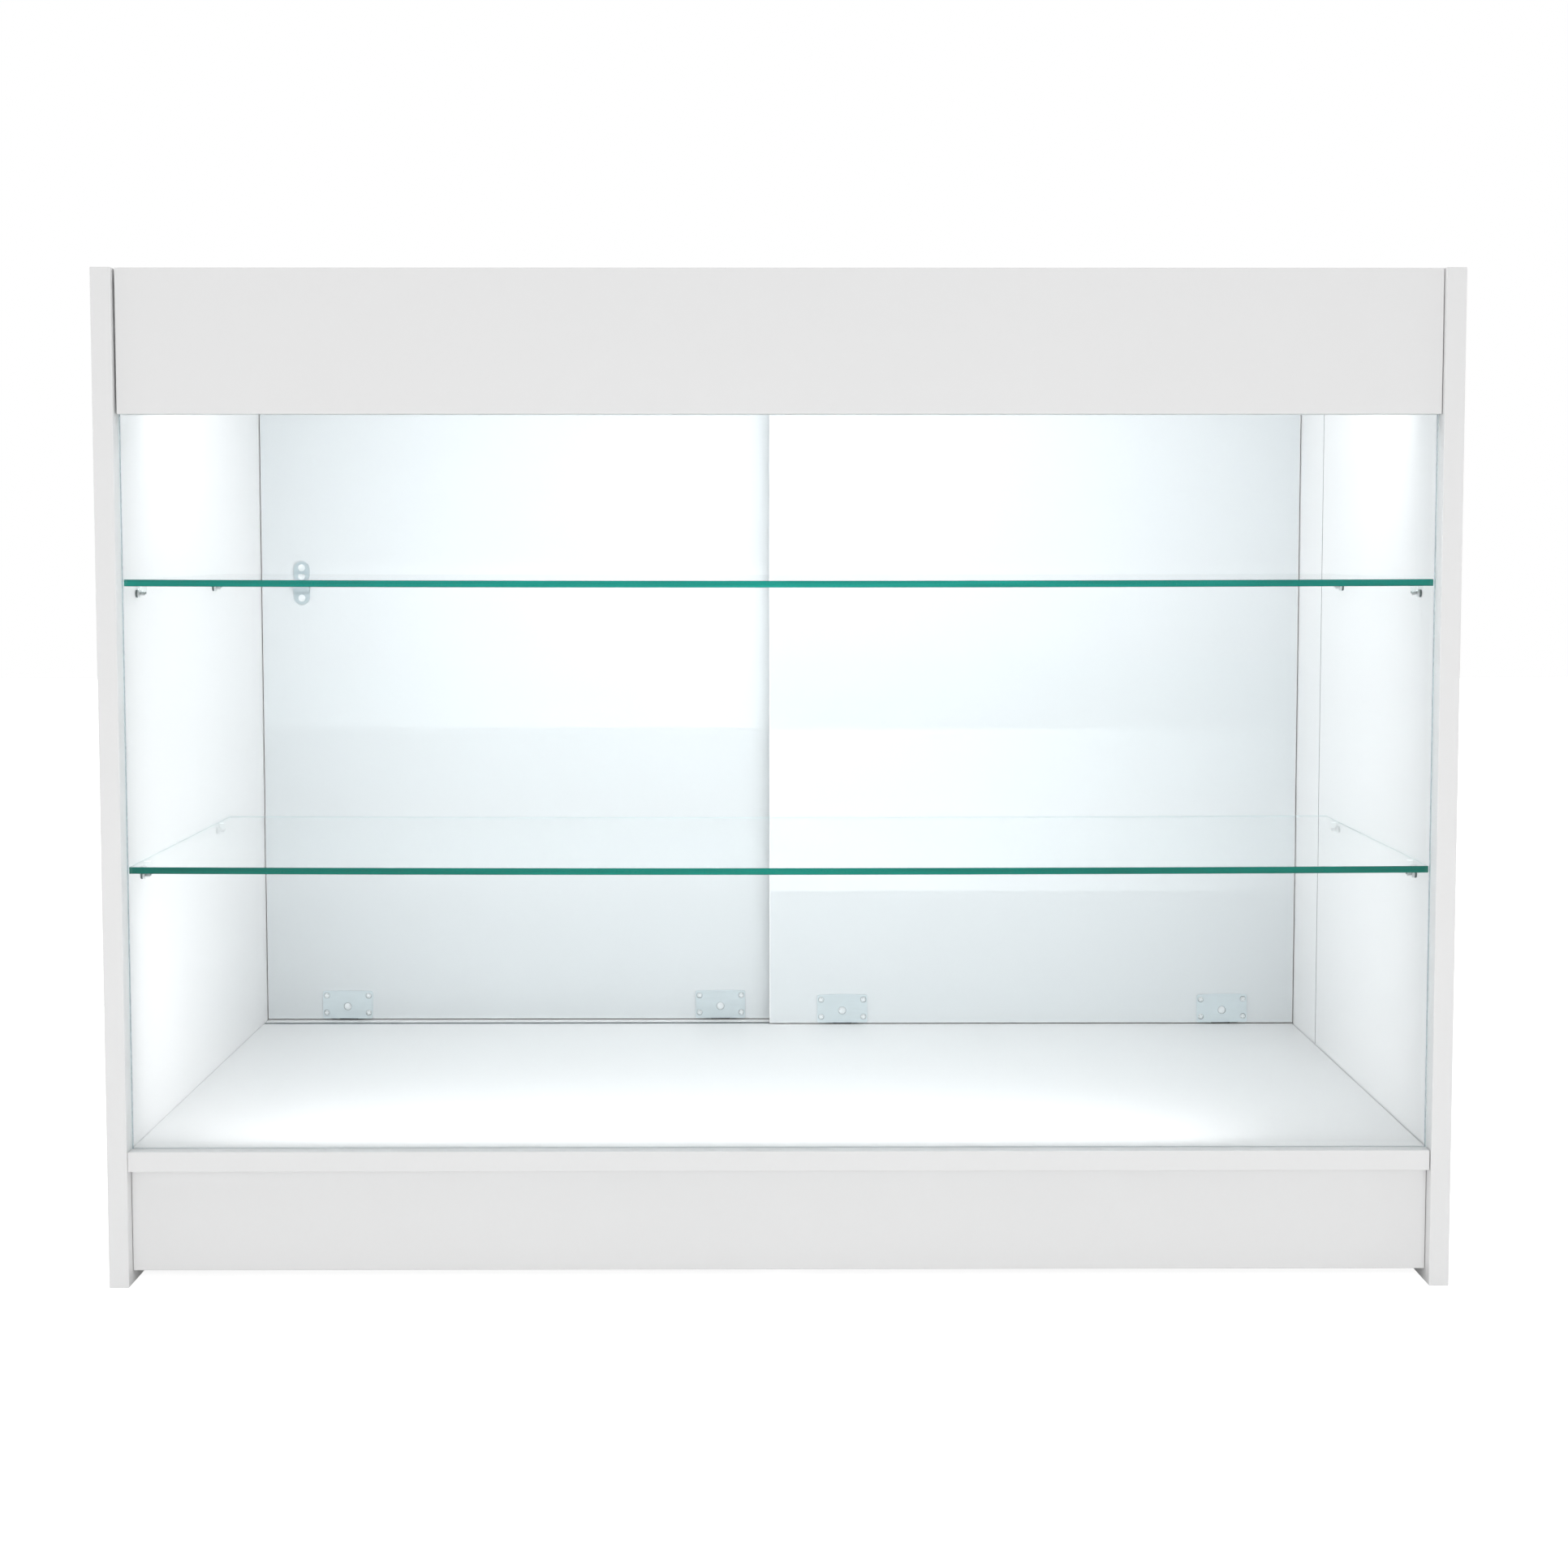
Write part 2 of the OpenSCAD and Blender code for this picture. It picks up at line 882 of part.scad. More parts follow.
// Return spring round the bolt, between the boss and the sleeve
module lock_spring() {
    turns = 4;
    steps = 64;
    sides = 8;
    wire_r = 0.4;
    start_in = outer_door_in - boss_proud + boss_wall + wire_r + 0.1;
    length = bolt_travel + spring_solid - 2 * wire_r - 0.2;
    rings = [for (step = [0:steps])
        each spring_ring(step, steps, turns, 5.2, wire_r, length, sides)];
    walls = [for (step = [0:steps - 1], k = [0:sides - 1])
        [step * sides + k, step * sides + (k + 1) % sides,
            (step + 1) * sides + (k + 1) % sides, (step + 1) * sides + k]];
    first_cap = [[for (k = [sides - 1:-1:0]) k]];
    last_cap = [[for (k = [0:sides - 1]) steps * sides + k]];
    color("silver")
        translate([lock_x, yf(start_in), lock_z])
            rotate([-90, 0, 0])
                polyhedron(points = rings, faces = concat(walls, first_cap, last_cap));
}

// ---- Inner door, on the right when shut ----

module door_right() {
    color("white")
        difference() {
            door_panel(-door_meet, door_end, inner_door_in, roller_xs_right);
            finger_pull_pocket(pull_x, inner_door_in);
            along_y([strike_x, yf(inner_door_in + door_t - 6), lock_z], 7, 8);
        }
}

module roller_plates_right() {
    color("lightsteelblue")
        for (x = roller_xs_right)
            roller_plate(x, inner_door_in);
}

module roller_screws_right() {
    color("silver")
        for (x = roller_xs_right)
            roller_screw_set(x, inner_door_in);
}

module roller_axles_right() {
    color("silver")
        for (x = roller_xs_right)
            roller_axle(x, inner_door_in);
}

module roller_bushes_right() {
    color("goldenrod")
        for (x = roller_xs_right)
            roller_bush(x, inner_door_in);
}

module wheel_right_a() {
    door_wheel(roller_xs_right[0], inner_mid);
}

module wheel_right_b() {
    door_wheel(roller_xs_right[1], inner_mid);
}

module top_guides_right() {
    color("whitesmoke")
        for (x = roller_xs_right)
            top_guide(x, inner_door_in);
}

module finger_pull_right() {
    color("silver")
        finger_pull(pull_x, inner_door_in);
}

// Cup in the inner door's outer face that takes the bolt where it stands behind this door
module strike_cup() {
    face = inner_door_in + door_t;
    color("silver")
        difference() {
            along_y([strike_x, yf(face - 6), lock_z], 7, 6);
            along_y([strike_x, yf(face - 4.8), lock_z], 5.2, 6);
        }
}

// ---- Light under the worktop ----

module led_channel() {
    color("silver")
        difference() {
            block([-channel_end, yf(channel_in), channel_top - channel_h],
                [channel_end, yf(channel_in + channel_w), channel_top]);
            block([-cabinet_w, yf(channel_in + channel_wall), channel_top - channel_h - 1],
                [cabinet_w, yf(channel_in + channel_w - channel_wall), channel_top - channel_wall]);
        }
}

module led_strip() {
    board_low = channel_top - channel_wall - 1;
    color("gold") {
        block([-channel_end + 4, yf(channel_in + 3.5), board_low],
            [channel_end - 4, yf(channel_in + channel_w - 3.5), board_low + 1]);
        for (x = [-520:40:520])
            block([x - 2.5, yf(channel_in + channel_w / 2 - 2.5), board_low - 1],
                [x + 2.5, yf(channel_in + channel_w / 2 + 2.5), board_low]);
    }
}

module led_diffuser() {
    color("white")
        block([-channel_end, yf(channel_in + channel_wall), channel_top - channel_h],
            [channel_end, yf(channel_in + channel_w - channel_wall), channel_top - channel_h + 1.5]);
}

module led_end_caps() {
    color("whitesmoke")
        both_sides()
            block([channel_end, yf(channel_in), channel_top - channel_h],
                [channel_end + 2, yf(channel_in + channel_w), channel_top]);
}

// Spring clips between the worktop and the channel
module led_clips() {
    color("silver")
        for (x = clip_xs)
            difference() {
                block([x - 6, yf(channel_in - 1.2), channel_top - 5],
                    [x + 6, yf(channel_in + channel_w + 1.2), worktop_low]);
                block([x - 7, yf(channel_in), channel_top - 6],
                    [x + 7, yf(channel_in + channel_w), channel_top]);
            }
}

module driver_screw_holes() {
    for (depth = [driver_front - 6, driver_back + 6])
        translate([driver_x, yf(depth), worktop_low - 3])
            cylinder(r = screw_r, h = bracket_screw);
}

// Closed power unit with a lug at each end
module led_driver() {
    color("white")
        difference() {
            union() {
                block([driver_x - driver_w / 2, yf(driver_front), worktop_low - driver_h],
                    [driver_x + driver_w / 2, yf(driver_back), worktop_low]);
                block([driver_x - 8, yf(driver_front - 12), worktop_low - 3],
                    [driver_x + 8, yf(driver_back + 12), worktop_low]);
            }
            driver_screw_holes();
        }
}

module driver_screws() {
    color("silver")
        for (depth = [driver_front - 6, driver_back + 6])
            translate([driver_x, yf(depth), worktop_low - 3])
                screw(screw_r, bracket_screw, screw_head_r, screw_head_h);
}

// Low-voltage lead from the channel's left end, round one bend, to the driver
module led_lead() {
    start_x = -channel_end - 2;
    bend_x = driver_x - 8;
    mid = channel_in + channel_w / 2;
    color("whitesmoke") {
        along_x([bend_x + lead_bend, yf(mid), lead_z], lead_r, start_x - bend_x - lead_bend);
        translate([bend_x + lead_bend, yf(mid + lead_bend), lead_z])
            rotate([0, 0, 180])
                rotate_extrude(angle = 90)
                    translate([lead_bend, 0])
                        circle(r = lead_r);
        along_y([bend_x, yf(mid + lead_bend), lead_z], lead_r, driver_front - mid - lead_bend);
    }
}

module cable_grommet() {
    color("white")
        difference() {
            union() {
                along_x([-cabinet_w / 2 + grommet_rim_t, yf(grommet_in), grommet_z],
                    grommet_r, board_t - grommet_rim_t);
                along_x([-cabinet_w / 2, yf(grommet_in), grommet_z], grommet_rim_r, grommet_rim_t);
            }
            along_x([-cabinet_w / 2 - 1, yf(grommet_in), grommet_z], grommet_bore, board_t + 2);
        }
}

side_panel_left();
side_panel_right();
worktop();
fascia();
deck();
kick_board_front();
kick_board_rear();
deck_stretcher();
cam_housings();
cam_bolts();
cam_caps();
wooden_dowels();
corner_brackets();
bracket_screws();
front_glass();
glass_gaskets();
shelf_upper();
shelf_lower();
shelf_pins_upper();
shelf_pins_lower();
shelf_pads();
bottom_rail_inner();
bottom_rail_outer();
top_track();
track_screws();
door_left();
roller_plates_left();
roller_screws_left();
roller_axles_left();
roller_bushes_left();
wheel_left_a();
wheel_left_b();
top_guides_left();
finger_pull_left();
lock_body();
lock_ring();
lock_screws();
lock_bolt();
lock_plug();
lock_spring();
door_right();
roller_plates_right();
roller_screws_right();
roller_axles_right();
roller_bushes_right();
wheel_right_a();
wheel_right_b();
top_guides_right();
finger_pull_right();
strike_cup();
led_channel();
led_strip();
led_diffuser();
led_end_caps();
led_clips();
led_driver();
driver_screws();
led_lead();
cable_grommet();
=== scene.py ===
import json
import math
import random

import bmesh
import bpy
from mathutils import Matrix, Vector


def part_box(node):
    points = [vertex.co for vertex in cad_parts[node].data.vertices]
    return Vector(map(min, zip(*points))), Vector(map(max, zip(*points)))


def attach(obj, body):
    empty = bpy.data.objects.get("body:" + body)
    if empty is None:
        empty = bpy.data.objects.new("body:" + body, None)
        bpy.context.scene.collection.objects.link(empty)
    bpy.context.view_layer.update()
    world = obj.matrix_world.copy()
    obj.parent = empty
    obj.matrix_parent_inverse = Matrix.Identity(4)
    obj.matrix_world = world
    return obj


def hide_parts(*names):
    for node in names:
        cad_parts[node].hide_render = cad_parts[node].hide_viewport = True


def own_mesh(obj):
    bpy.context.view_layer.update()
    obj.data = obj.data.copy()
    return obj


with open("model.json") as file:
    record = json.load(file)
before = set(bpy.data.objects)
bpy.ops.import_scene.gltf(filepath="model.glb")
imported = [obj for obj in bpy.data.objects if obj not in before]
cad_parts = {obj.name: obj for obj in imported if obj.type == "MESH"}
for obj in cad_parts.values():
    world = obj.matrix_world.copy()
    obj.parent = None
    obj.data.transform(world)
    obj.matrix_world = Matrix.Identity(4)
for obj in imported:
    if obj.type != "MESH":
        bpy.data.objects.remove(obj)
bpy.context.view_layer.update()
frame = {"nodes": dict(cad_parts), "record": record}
scene = bpy.context.scene
nodes = frame["nodes"]
draws = random.Random(11)

BODY_OF = {n: body for body, names in frame["record"]["behaviour"]["bodies"].items() for n in names}
MM = 0.001

# ---------------------------------------------------------------- camera, light and floor

LENS, SENSOR = 52.98, 36                # millimetres
SHIFT_Y = -0.0589                       # picture slid down, as a share of its width
CAMERA_PLACE = (-0.0056, -2.3283, 0.6649)
NOD, ROLL, TURN = -0.0642, 0.0003, -0.0047      # radians away from square to the front

camera_data = bpy.data.cameras.new("shop_camera")
camera_data.sensor_width = SENSOR
camera_data.lens = LENS
camera_data.shift_y = SHIFT_Y
camera = bpy.data.objects.new("shop_camera", camera_data)
camera.location = CAMERA_PLACE
camera.rotation_euler = (math.pi / 2 + NOD, ROLL, TURN)
scene.collection.objects.link(camera)
scene.camera = camera
scene.view_settings.view_transform = "Standard"

ROOM_LIGHT = 0.46       # how strongly the white room lights the counter
ROOM_SEEN = 1.0         # how bright the same room looks straight from the camera
ROOM_MIRRORED = 0.28    # how bright it looks in glass and metal
SUN_SPREAD = math.radians(50)


def add(tree, kind, values=None, **settings):
    """A shader node with its settings and its input values."""
    node = tree.nodes.new(kind)
    for key, value in settings.items():
        setattr(node, key, value)
    for key, value in (values or {}).items():
        node.inputs[key].default_value = value
    return node


def join(tree, source, output, target, socket):
    tree.links.new(source.outputs[output], target.inputs[socket])


def white_room():
    """Even white surroundings."""
    world = bpy.data.worlds.new("white_room")
    world.use_nodes = True
    tree = world.node_tree
    tree.nodes.clear()
    path = add(tree, "ShaderNodeLightPath")
    mirrored = add(tree, "ShaderNodeMapRange", {"To Min": ROOM_LIGHT, "To Max": ROOM_MIRRORED})
    seen = add(tree, "ShaderNodeMath", {1: ROOM_SEEN}, operation="MULTIPLY")
    strength = add(tree, "ShaderNodeMath", operation="MAXIMUM")
    glow = add(tree, "ShaderNodeBackground", {"Color": (1.0, 1.0, 1.0, 1.0)})
    out = add(tree, "ShaderNodeOutputWorld")
    join(tree, path, "Is Glossy Ray", mirrored, "Value")
    join(tree, path, "Is Camera Ray", seen, 0)
    join(tree, mirrored, "Result", strength, 0)
    join(tree, seen, 0, strength, 1)
    join(tree, strength, 0, glow, "Strength")
    join(tree, glow, "Background", out, "Surface")
    scene.world = world


def lamp(name, kind, location, aim, energy, colour=(1, 1, 1), **settings):
    """A lamp aimed at a point."""
    data = bpy.data.lights.new(name, kind)
    data.energy = energy
    data.color = colour
    for key, value in settings.items():
        setattr(data, key, value)
    obj = bpy.data.objects.new(name, data)
    obj.location = location
    obj.rotation_euler = (Vector(aim) - Vector(location)).to_track_quat("-Z", "Y").to_euler()
    obj.visible_camera = False
    obj.visible_glossy = False
    obj.visible_transmission = False
    scene.collection.objects.link(obj)


white_room()
for name, place, energy in [
        ("ceiling_soft_light", (0, -0.02, 4), 0.75), ("front_soft_light", (0, -4, 0.8), 0.56),
        ("back_soft_light", (0, 4, 0.8), 0.9), ("left_soft_light", (-4, 0, 0.8), 0.9),
        ("right_soft_light", (4, 0, 0.8), 0.9)]:
    lamp(name, "SUN", place, (0, 0, 0), energy, angle=SUN_SPREAD)
lamp("low_front_light", "AREA", (0, -1.7, 0.2), (0, 0, 0.1), 4.5, shape="RECTANGLE", size=2.2, size_y=0.3)

# ---------------------------------------------------------------- shared surface effects


def effect(name, inputs, outputs):
    """An empty node group with named inputs and outputs; gives the group, its start and its end."""
    tree = bpy.data.node_groups.new(name, "ShaderNodeTree")
    for label, kind, value in inputs:
        socket = tree.interface.new_socket(label, in_out="INPUT", socket_type=kind)
        socket.default_value = value
    for label, kind in outputs:
        tree.interface.new_socket(label, in_out="OUTPUT", socket_type=kind)
    return tree, tree.nodes.new("NodeGroupInput"), tree.nodes.new("NodeGroupOutput")


FLOAT, COLOUR, VECTOR = "NodeSocketFloat", "NodeSocketColor", "NodeSocketVector"
SKIN_OUT = [("Color", COLOUR), ("Roughness", FLOAT), ("Height", FLOAT)]


def toned(tree, start, noise):
    """The group's colour made a little lighter and darker by a noise; gives the mixed node."""
    around = add(tree, "ShaderNodeMath", {1: 0.5}, operation="SUBTRACT")
    amount = add(tree, "ShaderNodeMath", operation="MULTIPLY")
    factor = add(tree, "ShaderNodeMath", {1: 1.0}, operation="ADD")
    scaled = add(tree, "ShaderNodeVectorMath", operation="SCALE")
    join(tree, noise, 0, around, 0)
    join(tree, around, 0, amount, 0)
    join(tree, start, "Tone", amount, 1)
    join(tree, amount, 0, factor, 0)
    join(tree, start, "Color", scaled, 0)
    join(tree, factor, 0, scaled, "Scale")
    return scaled


def rough_from(tree, start, noise, end):
    """Roughness that wanders round the value given, by the spread given."""
    around = add(tree, "ShaderNodeMath", {1: 0.5}, operation="SUBTRACT")
    rough = add(tree, "ShaderNodeMath", operation="MULTIPLY_ADD")
    join(tree, noise, 0, around, 0)
    join(tree, around, 0, rough, 0)
    join(tree, start, "Spread", rough, 1)
    join(tree, start, "Rough", rough, 2)
    join(tree, rough, 0, end, "Roughness")


def coated_skin():
    """Pressed or moulded skin: soft clouds of tone, a fine pebble grain and uneven gloss."""
    tree, start, end = effect("coated_skin", [
        ("Color", COLOUR, (0.8, 0.8, 0.8, 1)), ("Tone", FLOAT, 0.03), ("Cloud", FLOAT, 4.0),
        ("Grain", FLOAT, 700.0), ("Rough", FLOAT, 0.4), ("Spread", FLOAT, 0.1)], SKIN_OUT)
    place = add(tree, "ShaderNodeTexCoord")
    clouds = add(tree, "ShaderNodeTexNoise", {"Detail": 4.0, "Roughness": 0.6})
    pebbles = add(tree, "ShaderNodeTexNoise", {"Detail": 2.0, "Roughness": 0.5})
    gloss = add(tree, "ShaderNodeTexNoise", {"Scale": 38.0, "Detail": 3.0})
    for noise in (clouds, pebbles, gloss):
        join(tree, place, "Object", noise, "Vector")
    join(tree, start, "Cloud", clouds, "Scale")
    join(tree, start, "Grain", pebbles, "Scale")
    join(tree, toned(tree, start, clouds), 0, end, "Color")
    join(tree, pebbles, 0, end, "Height")
    rough_from(tree, start, gloss, end)
    return tree


def drawn_metal():
    """Metal with fine lines along one direction, patchy plating and light handling marks."""
    tree, start, end = effect("drawn_metal", [
        ("Color", COLOUR, (0.7, 0.7, 0.7, 1)), ("Tone", FLOAT, 0.1), ("Lines", VECTOR, (20, 900, 900)),
        ("Rough", FLOAT, 0.3), ("Spread", FLOAT, 0.15)], SKIN_OUT)
    place = add(tree, "ShaderNodeTexCoord")
    stretched = add(tree, "ShaderNodeVectorMath", operation="MULTIPLY")
    lines = add(tree, "ShaderNodeTexNoise", {"Scale": 1.0, "Detail": 3.0, "Roughness": 0.65})
    patches = add(tree, "ShaderNodeTexNoise", {"Scale": 70.0, "Detail": 4.0, "Roughness": 0.6})
    both = add(tree, "ShaderNodeMix", {"Factor": 0.45}, data_type="FLOAT")
    join(tree, place, "Object", stretched, 0)
    join(tree, start, "Lines", stretched, 1)
    join(tree, stretched, 0, lines, "Vector")
    join(tree, place, "Object", patches, "Vector")
    join(tree, lines, 0, both, 2)
    join(tree, patches, 0, both, 3)
    join(tree, toned(tree, start, both), 0, end, "Color")
    join(tree, lines, 0, end, "Height")
    rough_from(tree, start, patches, end)
    return tree


def finger_marks():
    """Uneven gloss of a wiped, handled surface: broad smears with a few rubbed streaks."""
    tree, start, end = effect("finger_marks", [
        ("Rough", FLOAT, 0.0), ("Spread", FLOAT, 0.02), ("Size", FLOAT, 6.0)],
        [("Roughness", FLOAT), ("Height", FLOAT)])
    place = add(tree, "ShaderNodeTexCoord")
    smears = add(tree, "ShaderNodeTexNoise", {"Detail": 5.0, "Roughness": 0.62, "Distortion": 0.6})
    shaped = add(tree, "ShaderNodeMapRange", {"From Min": 0.45, "From Max": 0.75})
    rough = add(tree, "ShaderNodeMath", operation="MULTIPLY_ADD")
    join(tree, place, "Object", smears, "Vector")
    join(tree, start, "Size", smears, "Scale")
    join(tree, smears, 0, shaped, "Value")
    join(tree, shaped, "Result", rough, 0)
    join(tree, start, "Spread", rough, 1)
    join(tree, start, "Rough", rough, 2)
    join(tree, rough, 0, end, "Roughness")
    join(tree, smears, 0, end, "Height")
    return tree


def timber_grain():
    """Pale hardwood: long fibres, short darker flecks and slow bands."""
    tree, start, end = effect("timber_grain", [
        ("Color", COLOUR, (0.7, 0.5, 0.3, 1)), ("Tone", FLOAT, 0.5), ("Fibres", VECTOR, (30, 700, 700)),
        ("Rough", FLOAT, 0.6), ("Spread", FLOAT, 0.1)], SKIN_OUT)
    place = add(tree, "ShaderNodeTexCoord")
    stretched = add(tree, "ShaderNodeVectorMath", operation="MULTIPLY")
    fibres = add(tree, "ShaderNodeTexNoise", {"Scale": 1.0, "Detail": 6.0, "Roughness": 0.7})
    join(tree, place, "Object", stretched, 0)
    join(tree, start, "Fibres", stretched, 1)
    join(tree, stretched, 0, fibres, "Vector")
    join(tree, toned(tree, start, fibres), 0, end, "Color")
    join(tree, fibres, 0, end, "Height")
    rough_from(tree, start, fibres, end)
    return tree


def pressed_chips():
    """Raw particle board where a slot is cut: packed chips of several tones."""
    tree, start, end = effect("pressed_chips", [
        ("Color", COLOUR, (0.3, 0.25, 0.2, 1)), ("Tone", FLOAT, 0.9), ("Chip", FLOAT, 600.0),
        ("Rough", FLOAT, 0.85), ("Spread", FLOAT, 0.1)], SKIN_OUT)
    place = add(tree, "ShaderNodeTexCoord")
    chips = add(tree, "ShaderNodeTexVoronoi", {"Randomness": 1.0})
    noise = add(tree, "ShaderNodeTexNoise", {"Scale": 420.0, "Detail": 3.0})
    grey = add(tree, "ShaderNodeRGBToBW")
    join(tree, place, "Object", chips, "Vector")
    join(tree, start, "Chip", chips, "Scale")
    join(tree, place, "Object", noise, "Vector")
    join(tree, chips, "Color", grey, 0)
    join(tree, toned(tree, start, grey), 0, end, "Color")
    join(tree, chips, "Distance", end, "Height")
    rough_from(tree, start, noise, end)
    return tree


SKIN, METAL, MARKS = coated_skin(), drawn_metal(), finger_marks()
GRAIN, CHIPS = timber_grain(), pressed_chips()


def finish(name, group, look, shader=None, relief=0.0):
    """A material whose colour, gloss and relief come from one shared effect."""
    material = bpy.data.materials.new(name)
    material.use_nodes = True
    tree = material.node_tree
    base = tree.nodes["Principled BSDF"]
    for key, value in (shader or {}).items():
        base.inputs[key].default_value = value
    skin = add(tree, "ShaderNodeGroup", node_tree=group)
    for key, value in look.items():
        skin.inputs[key].default_value = value
    if "Color" in skin.outputs:
        join(tree, skin, "Color", base, "Base Color")
    join(tree, skin, "Roughness", base, "Roughness")
    if relief:
        bump = add(tree, "ShaderNodeBump", {"Strength": 1.0, "Distance": relief})
        join(tree, skin, "Height", bump, "Height")
        join(tree, bump, "Normal", base, "Normal")
    return material


def glass(name, base_colour, through, marks, ior=1.5, wave=0.0, gloss=0.5):
    """Clear glass or plastic: bends what is seen through it, and lets light and shadow pass straight on."""
    material = finish(name, MARKS, marks, {
        "Base Color": base_colour, "Transmission Weight": 1.0, "IOR": ior, "Specular IOR Level": gloss}, wave)
    let_light_pass(material, through)
    return material


def let_light_pass(material, through):
    """Shadow and indirect light go straight on through the material, tinted."""
    tree = material.node_tree
    path = add(tree, "ShaderNodeLightPath")
    passing = add(tree, "ShaderNodeMath", operation="MAXIMUM")
    clear = add(tree, "ShaderNodeBsdfTransparent", {"Color": through})
    mixed = add(tree, "ShaderNodeMixShader")
    join(tree, path, "Is Shadow Ray", passing, 0)
    join(tree, path, "Is Diffuse Ray", passing, 1)
    join(tree, passing, 0, mixed, "Fac")
    join(tree, tree.nodes["Principled BSDF"], "BSDF", mixed, 1)
    join(tree, clear, "BSDF", mixed, 2)
    join(tree, mixed, "Shader", tree.nodes["Material Output"], "Surface")


EDGE_GLOW_HALF = 0.56                       # how far from the middle the painted edge glow has faded into the darker ends
EDGE_TINT = (0.9, 0.97, 0.96, 1)
MATT_EDGE = {"IOR": 1.5, "Specular IOR Level": 0.1}


def green_edge(name, middle, ends, shader):
    """Polished glass edge: painted lighter in the middle as a glow and darker towards the ends, with soft
    streaks along it.
    """
    material = bpy.data.materials.new(name)
    material.use_nodes = True
    tree = material.node_tree
    base = tree.nodes["Principled BSDF"]
    for key, value in shader.items():
        base.inputs[key].default_value = value
    place = add(tree, "ShaderNodeTexCoord")
    parts = add(tree, "ShaderNodeSeparateXYZ")
    far = add(tree, "ShaderNodeMath", operation="ABSOLUTE")
    share = add(tree, "ShaderNodeMapRange", {"From Min": 0.0, "From Max": EDGE_GLOW_HALF},
                interpolation_type="SMOOTHSTEP")
    # painted glow: the middle colour is lighter and fades to the darker ends
    painted_glow = add(tree, "ShaderNodeMix", {"A": middle, "B": ends}, data_type="RGBA")
    long = add(tree, "ShaderNodeVectorMath", {1: (6.0, 200.0, 330.0)}, operation="MULTIPLY")
    streaks = add(tree, "ShaderNodeTexNoise", {"Scale": 1.0, "Detail": 4.0, "Roughness": 0.6})
    light = add(tree, "ShaderNodeMapRange", {
        "From Min": 0.3, "From Max": 0.7, "To Min": 0.78, "To Max": 1.22})
    lit = add(tree, "ShaderNodeVectorMath", operation="SCALE")
    marks = add(tree, "ShaderNodeGroup", {"Rough": 0.06, "Spread": 0.1, "Size": 60.0}, node_tree=MARKS)
    join(tree, place, "Object", parts, 0)
    join(tree, parts, "X", far, 0)
    join(tree, far, 0, share, "Value")
    join(tree, share, "Result", painted_glow, "Factor")
    join(tree, place, "Object", long, 0)
    join(tree, long, 0, streaks, "Vector")
    join(tree, streaks, 0, light, "Value")
    join(tree, painted_glow, "Result", lit, 0)
    join(tree, light, "Result", lit, "Scale")
    join(tree, lit, 0, base, "Base Color")
    join(tree, marks, "Roughness", base, "Roughness")
    let_light_pass(material, EDGE_TINT)
    return material


BOARD = finish("white_melamine", SKIN, {
    "Color": (0.81, 0.81, 0.81, 1), "Tone": 0.025, "Cloud": 3.0, "Grain": 900.0, "Rough": 0.42,
    "Spread": 0.12},
    {"IOR": 1.45}, 0.00002)
# painted shade: a darker, cooler copy of the white board for the doors' faces towards the glass
DOOR_FACE_SHADE = finish("door_face_painted_shade", SKIN, {
    "Color": (0.632, 0.662, 0.674, 1), "Tone": 0.025, "Cloud": 2.5, "Grain": 900.0, "Rough": 0.42,
    "Spread": 0.12},
    {"IOR": 1.45}, 0.00002)
# raw chipboard core, partly painted shade: darkened far below its own tone so kerfs and slots read as dark
# shadow lines
CORE_AND_SHADE = finish("particle_board_core_painted_shade", CHIPS, {"Color": (0.07, 0.06, 0.055, 1)}, relief=0.0003)
PANE = glass("clear_float_glass", (0.993, 0.998, 1.0, 1), (0.992, 0.998, 1.0, 1),
             {"Rough": 0.0, "Spread": 0.012, "Size": 5.0}, wave=0.000004, gloss=0.15)
SHELF = glass("shelf_float_glass", (0.978, 0.995, 0.993, 1), (0.98, 0.994, 0.994, 1),
              {"Rough": 0.0, "Spread": 0.015, "Size": 7.0}, wave=0.000004)
# painted light: one polished edge in two copies, the lower shelf's painted darker as shade
UPPER_FRONT = green_edge("upper_shelf_front_edge_painted_glow", (0.002, 0.36, 0.29, 1), (0.001, 0.24, 0.19, 1),
                         MATT_EDGE)
LOWER_FRONT_SHADED = green_edge("lower_shelf_front_edge_painted_shade", (0.002, 0.25, 0.19, 1), (0.001, 0.17, 0.125, 1),
                         MATT_EDGE)
# painted shade: the front chamfers get a much darker copy of the edge green
SHELF_ARRIS_SHADE = green_edge("shelf_front_arris_painted_shade", (0.001, 0.12, 0.11, 1), (0.001, 0.08, 0.075, 1),
                         MATT_EDGE)
SHELF_SIDE = green_edge("shelf_side_edge", (0.36, 0.48, 0.49, 1), (0.34, 0.46, 0.47, 1),
                        {"IOR": 1.5, "Coat Weight": 0.5, "Coat Roughness": 0.05})
PANE_EDGE = green_edge("pane_edge", (0.46, 0.52, 0.56, 1), (0.46, 0.52, 0.56, 1),
                       {"IOR": 1.5, "Coat Weight": 0.4, "Coat Roughness": 0.06})
PAD = glass("clear_shelf_pad", (0.93, 0.97, 0.96, 1), (0.8, 0.85, 0.85, 1),
            {"Rough": 0.03, "Spread": 0.05, "Size": 120.0}, ior=1.12)
GASKET = finish("glazing_strip", SKIN, {
    "Color": (0.70, 0.72, 0.73, 1), "Tone": 0.06, "Cloud": 30.0, "Grain": 1500.0, "Rough": 0.55,
    "Spread": 0.1},
    relief=0.00003)
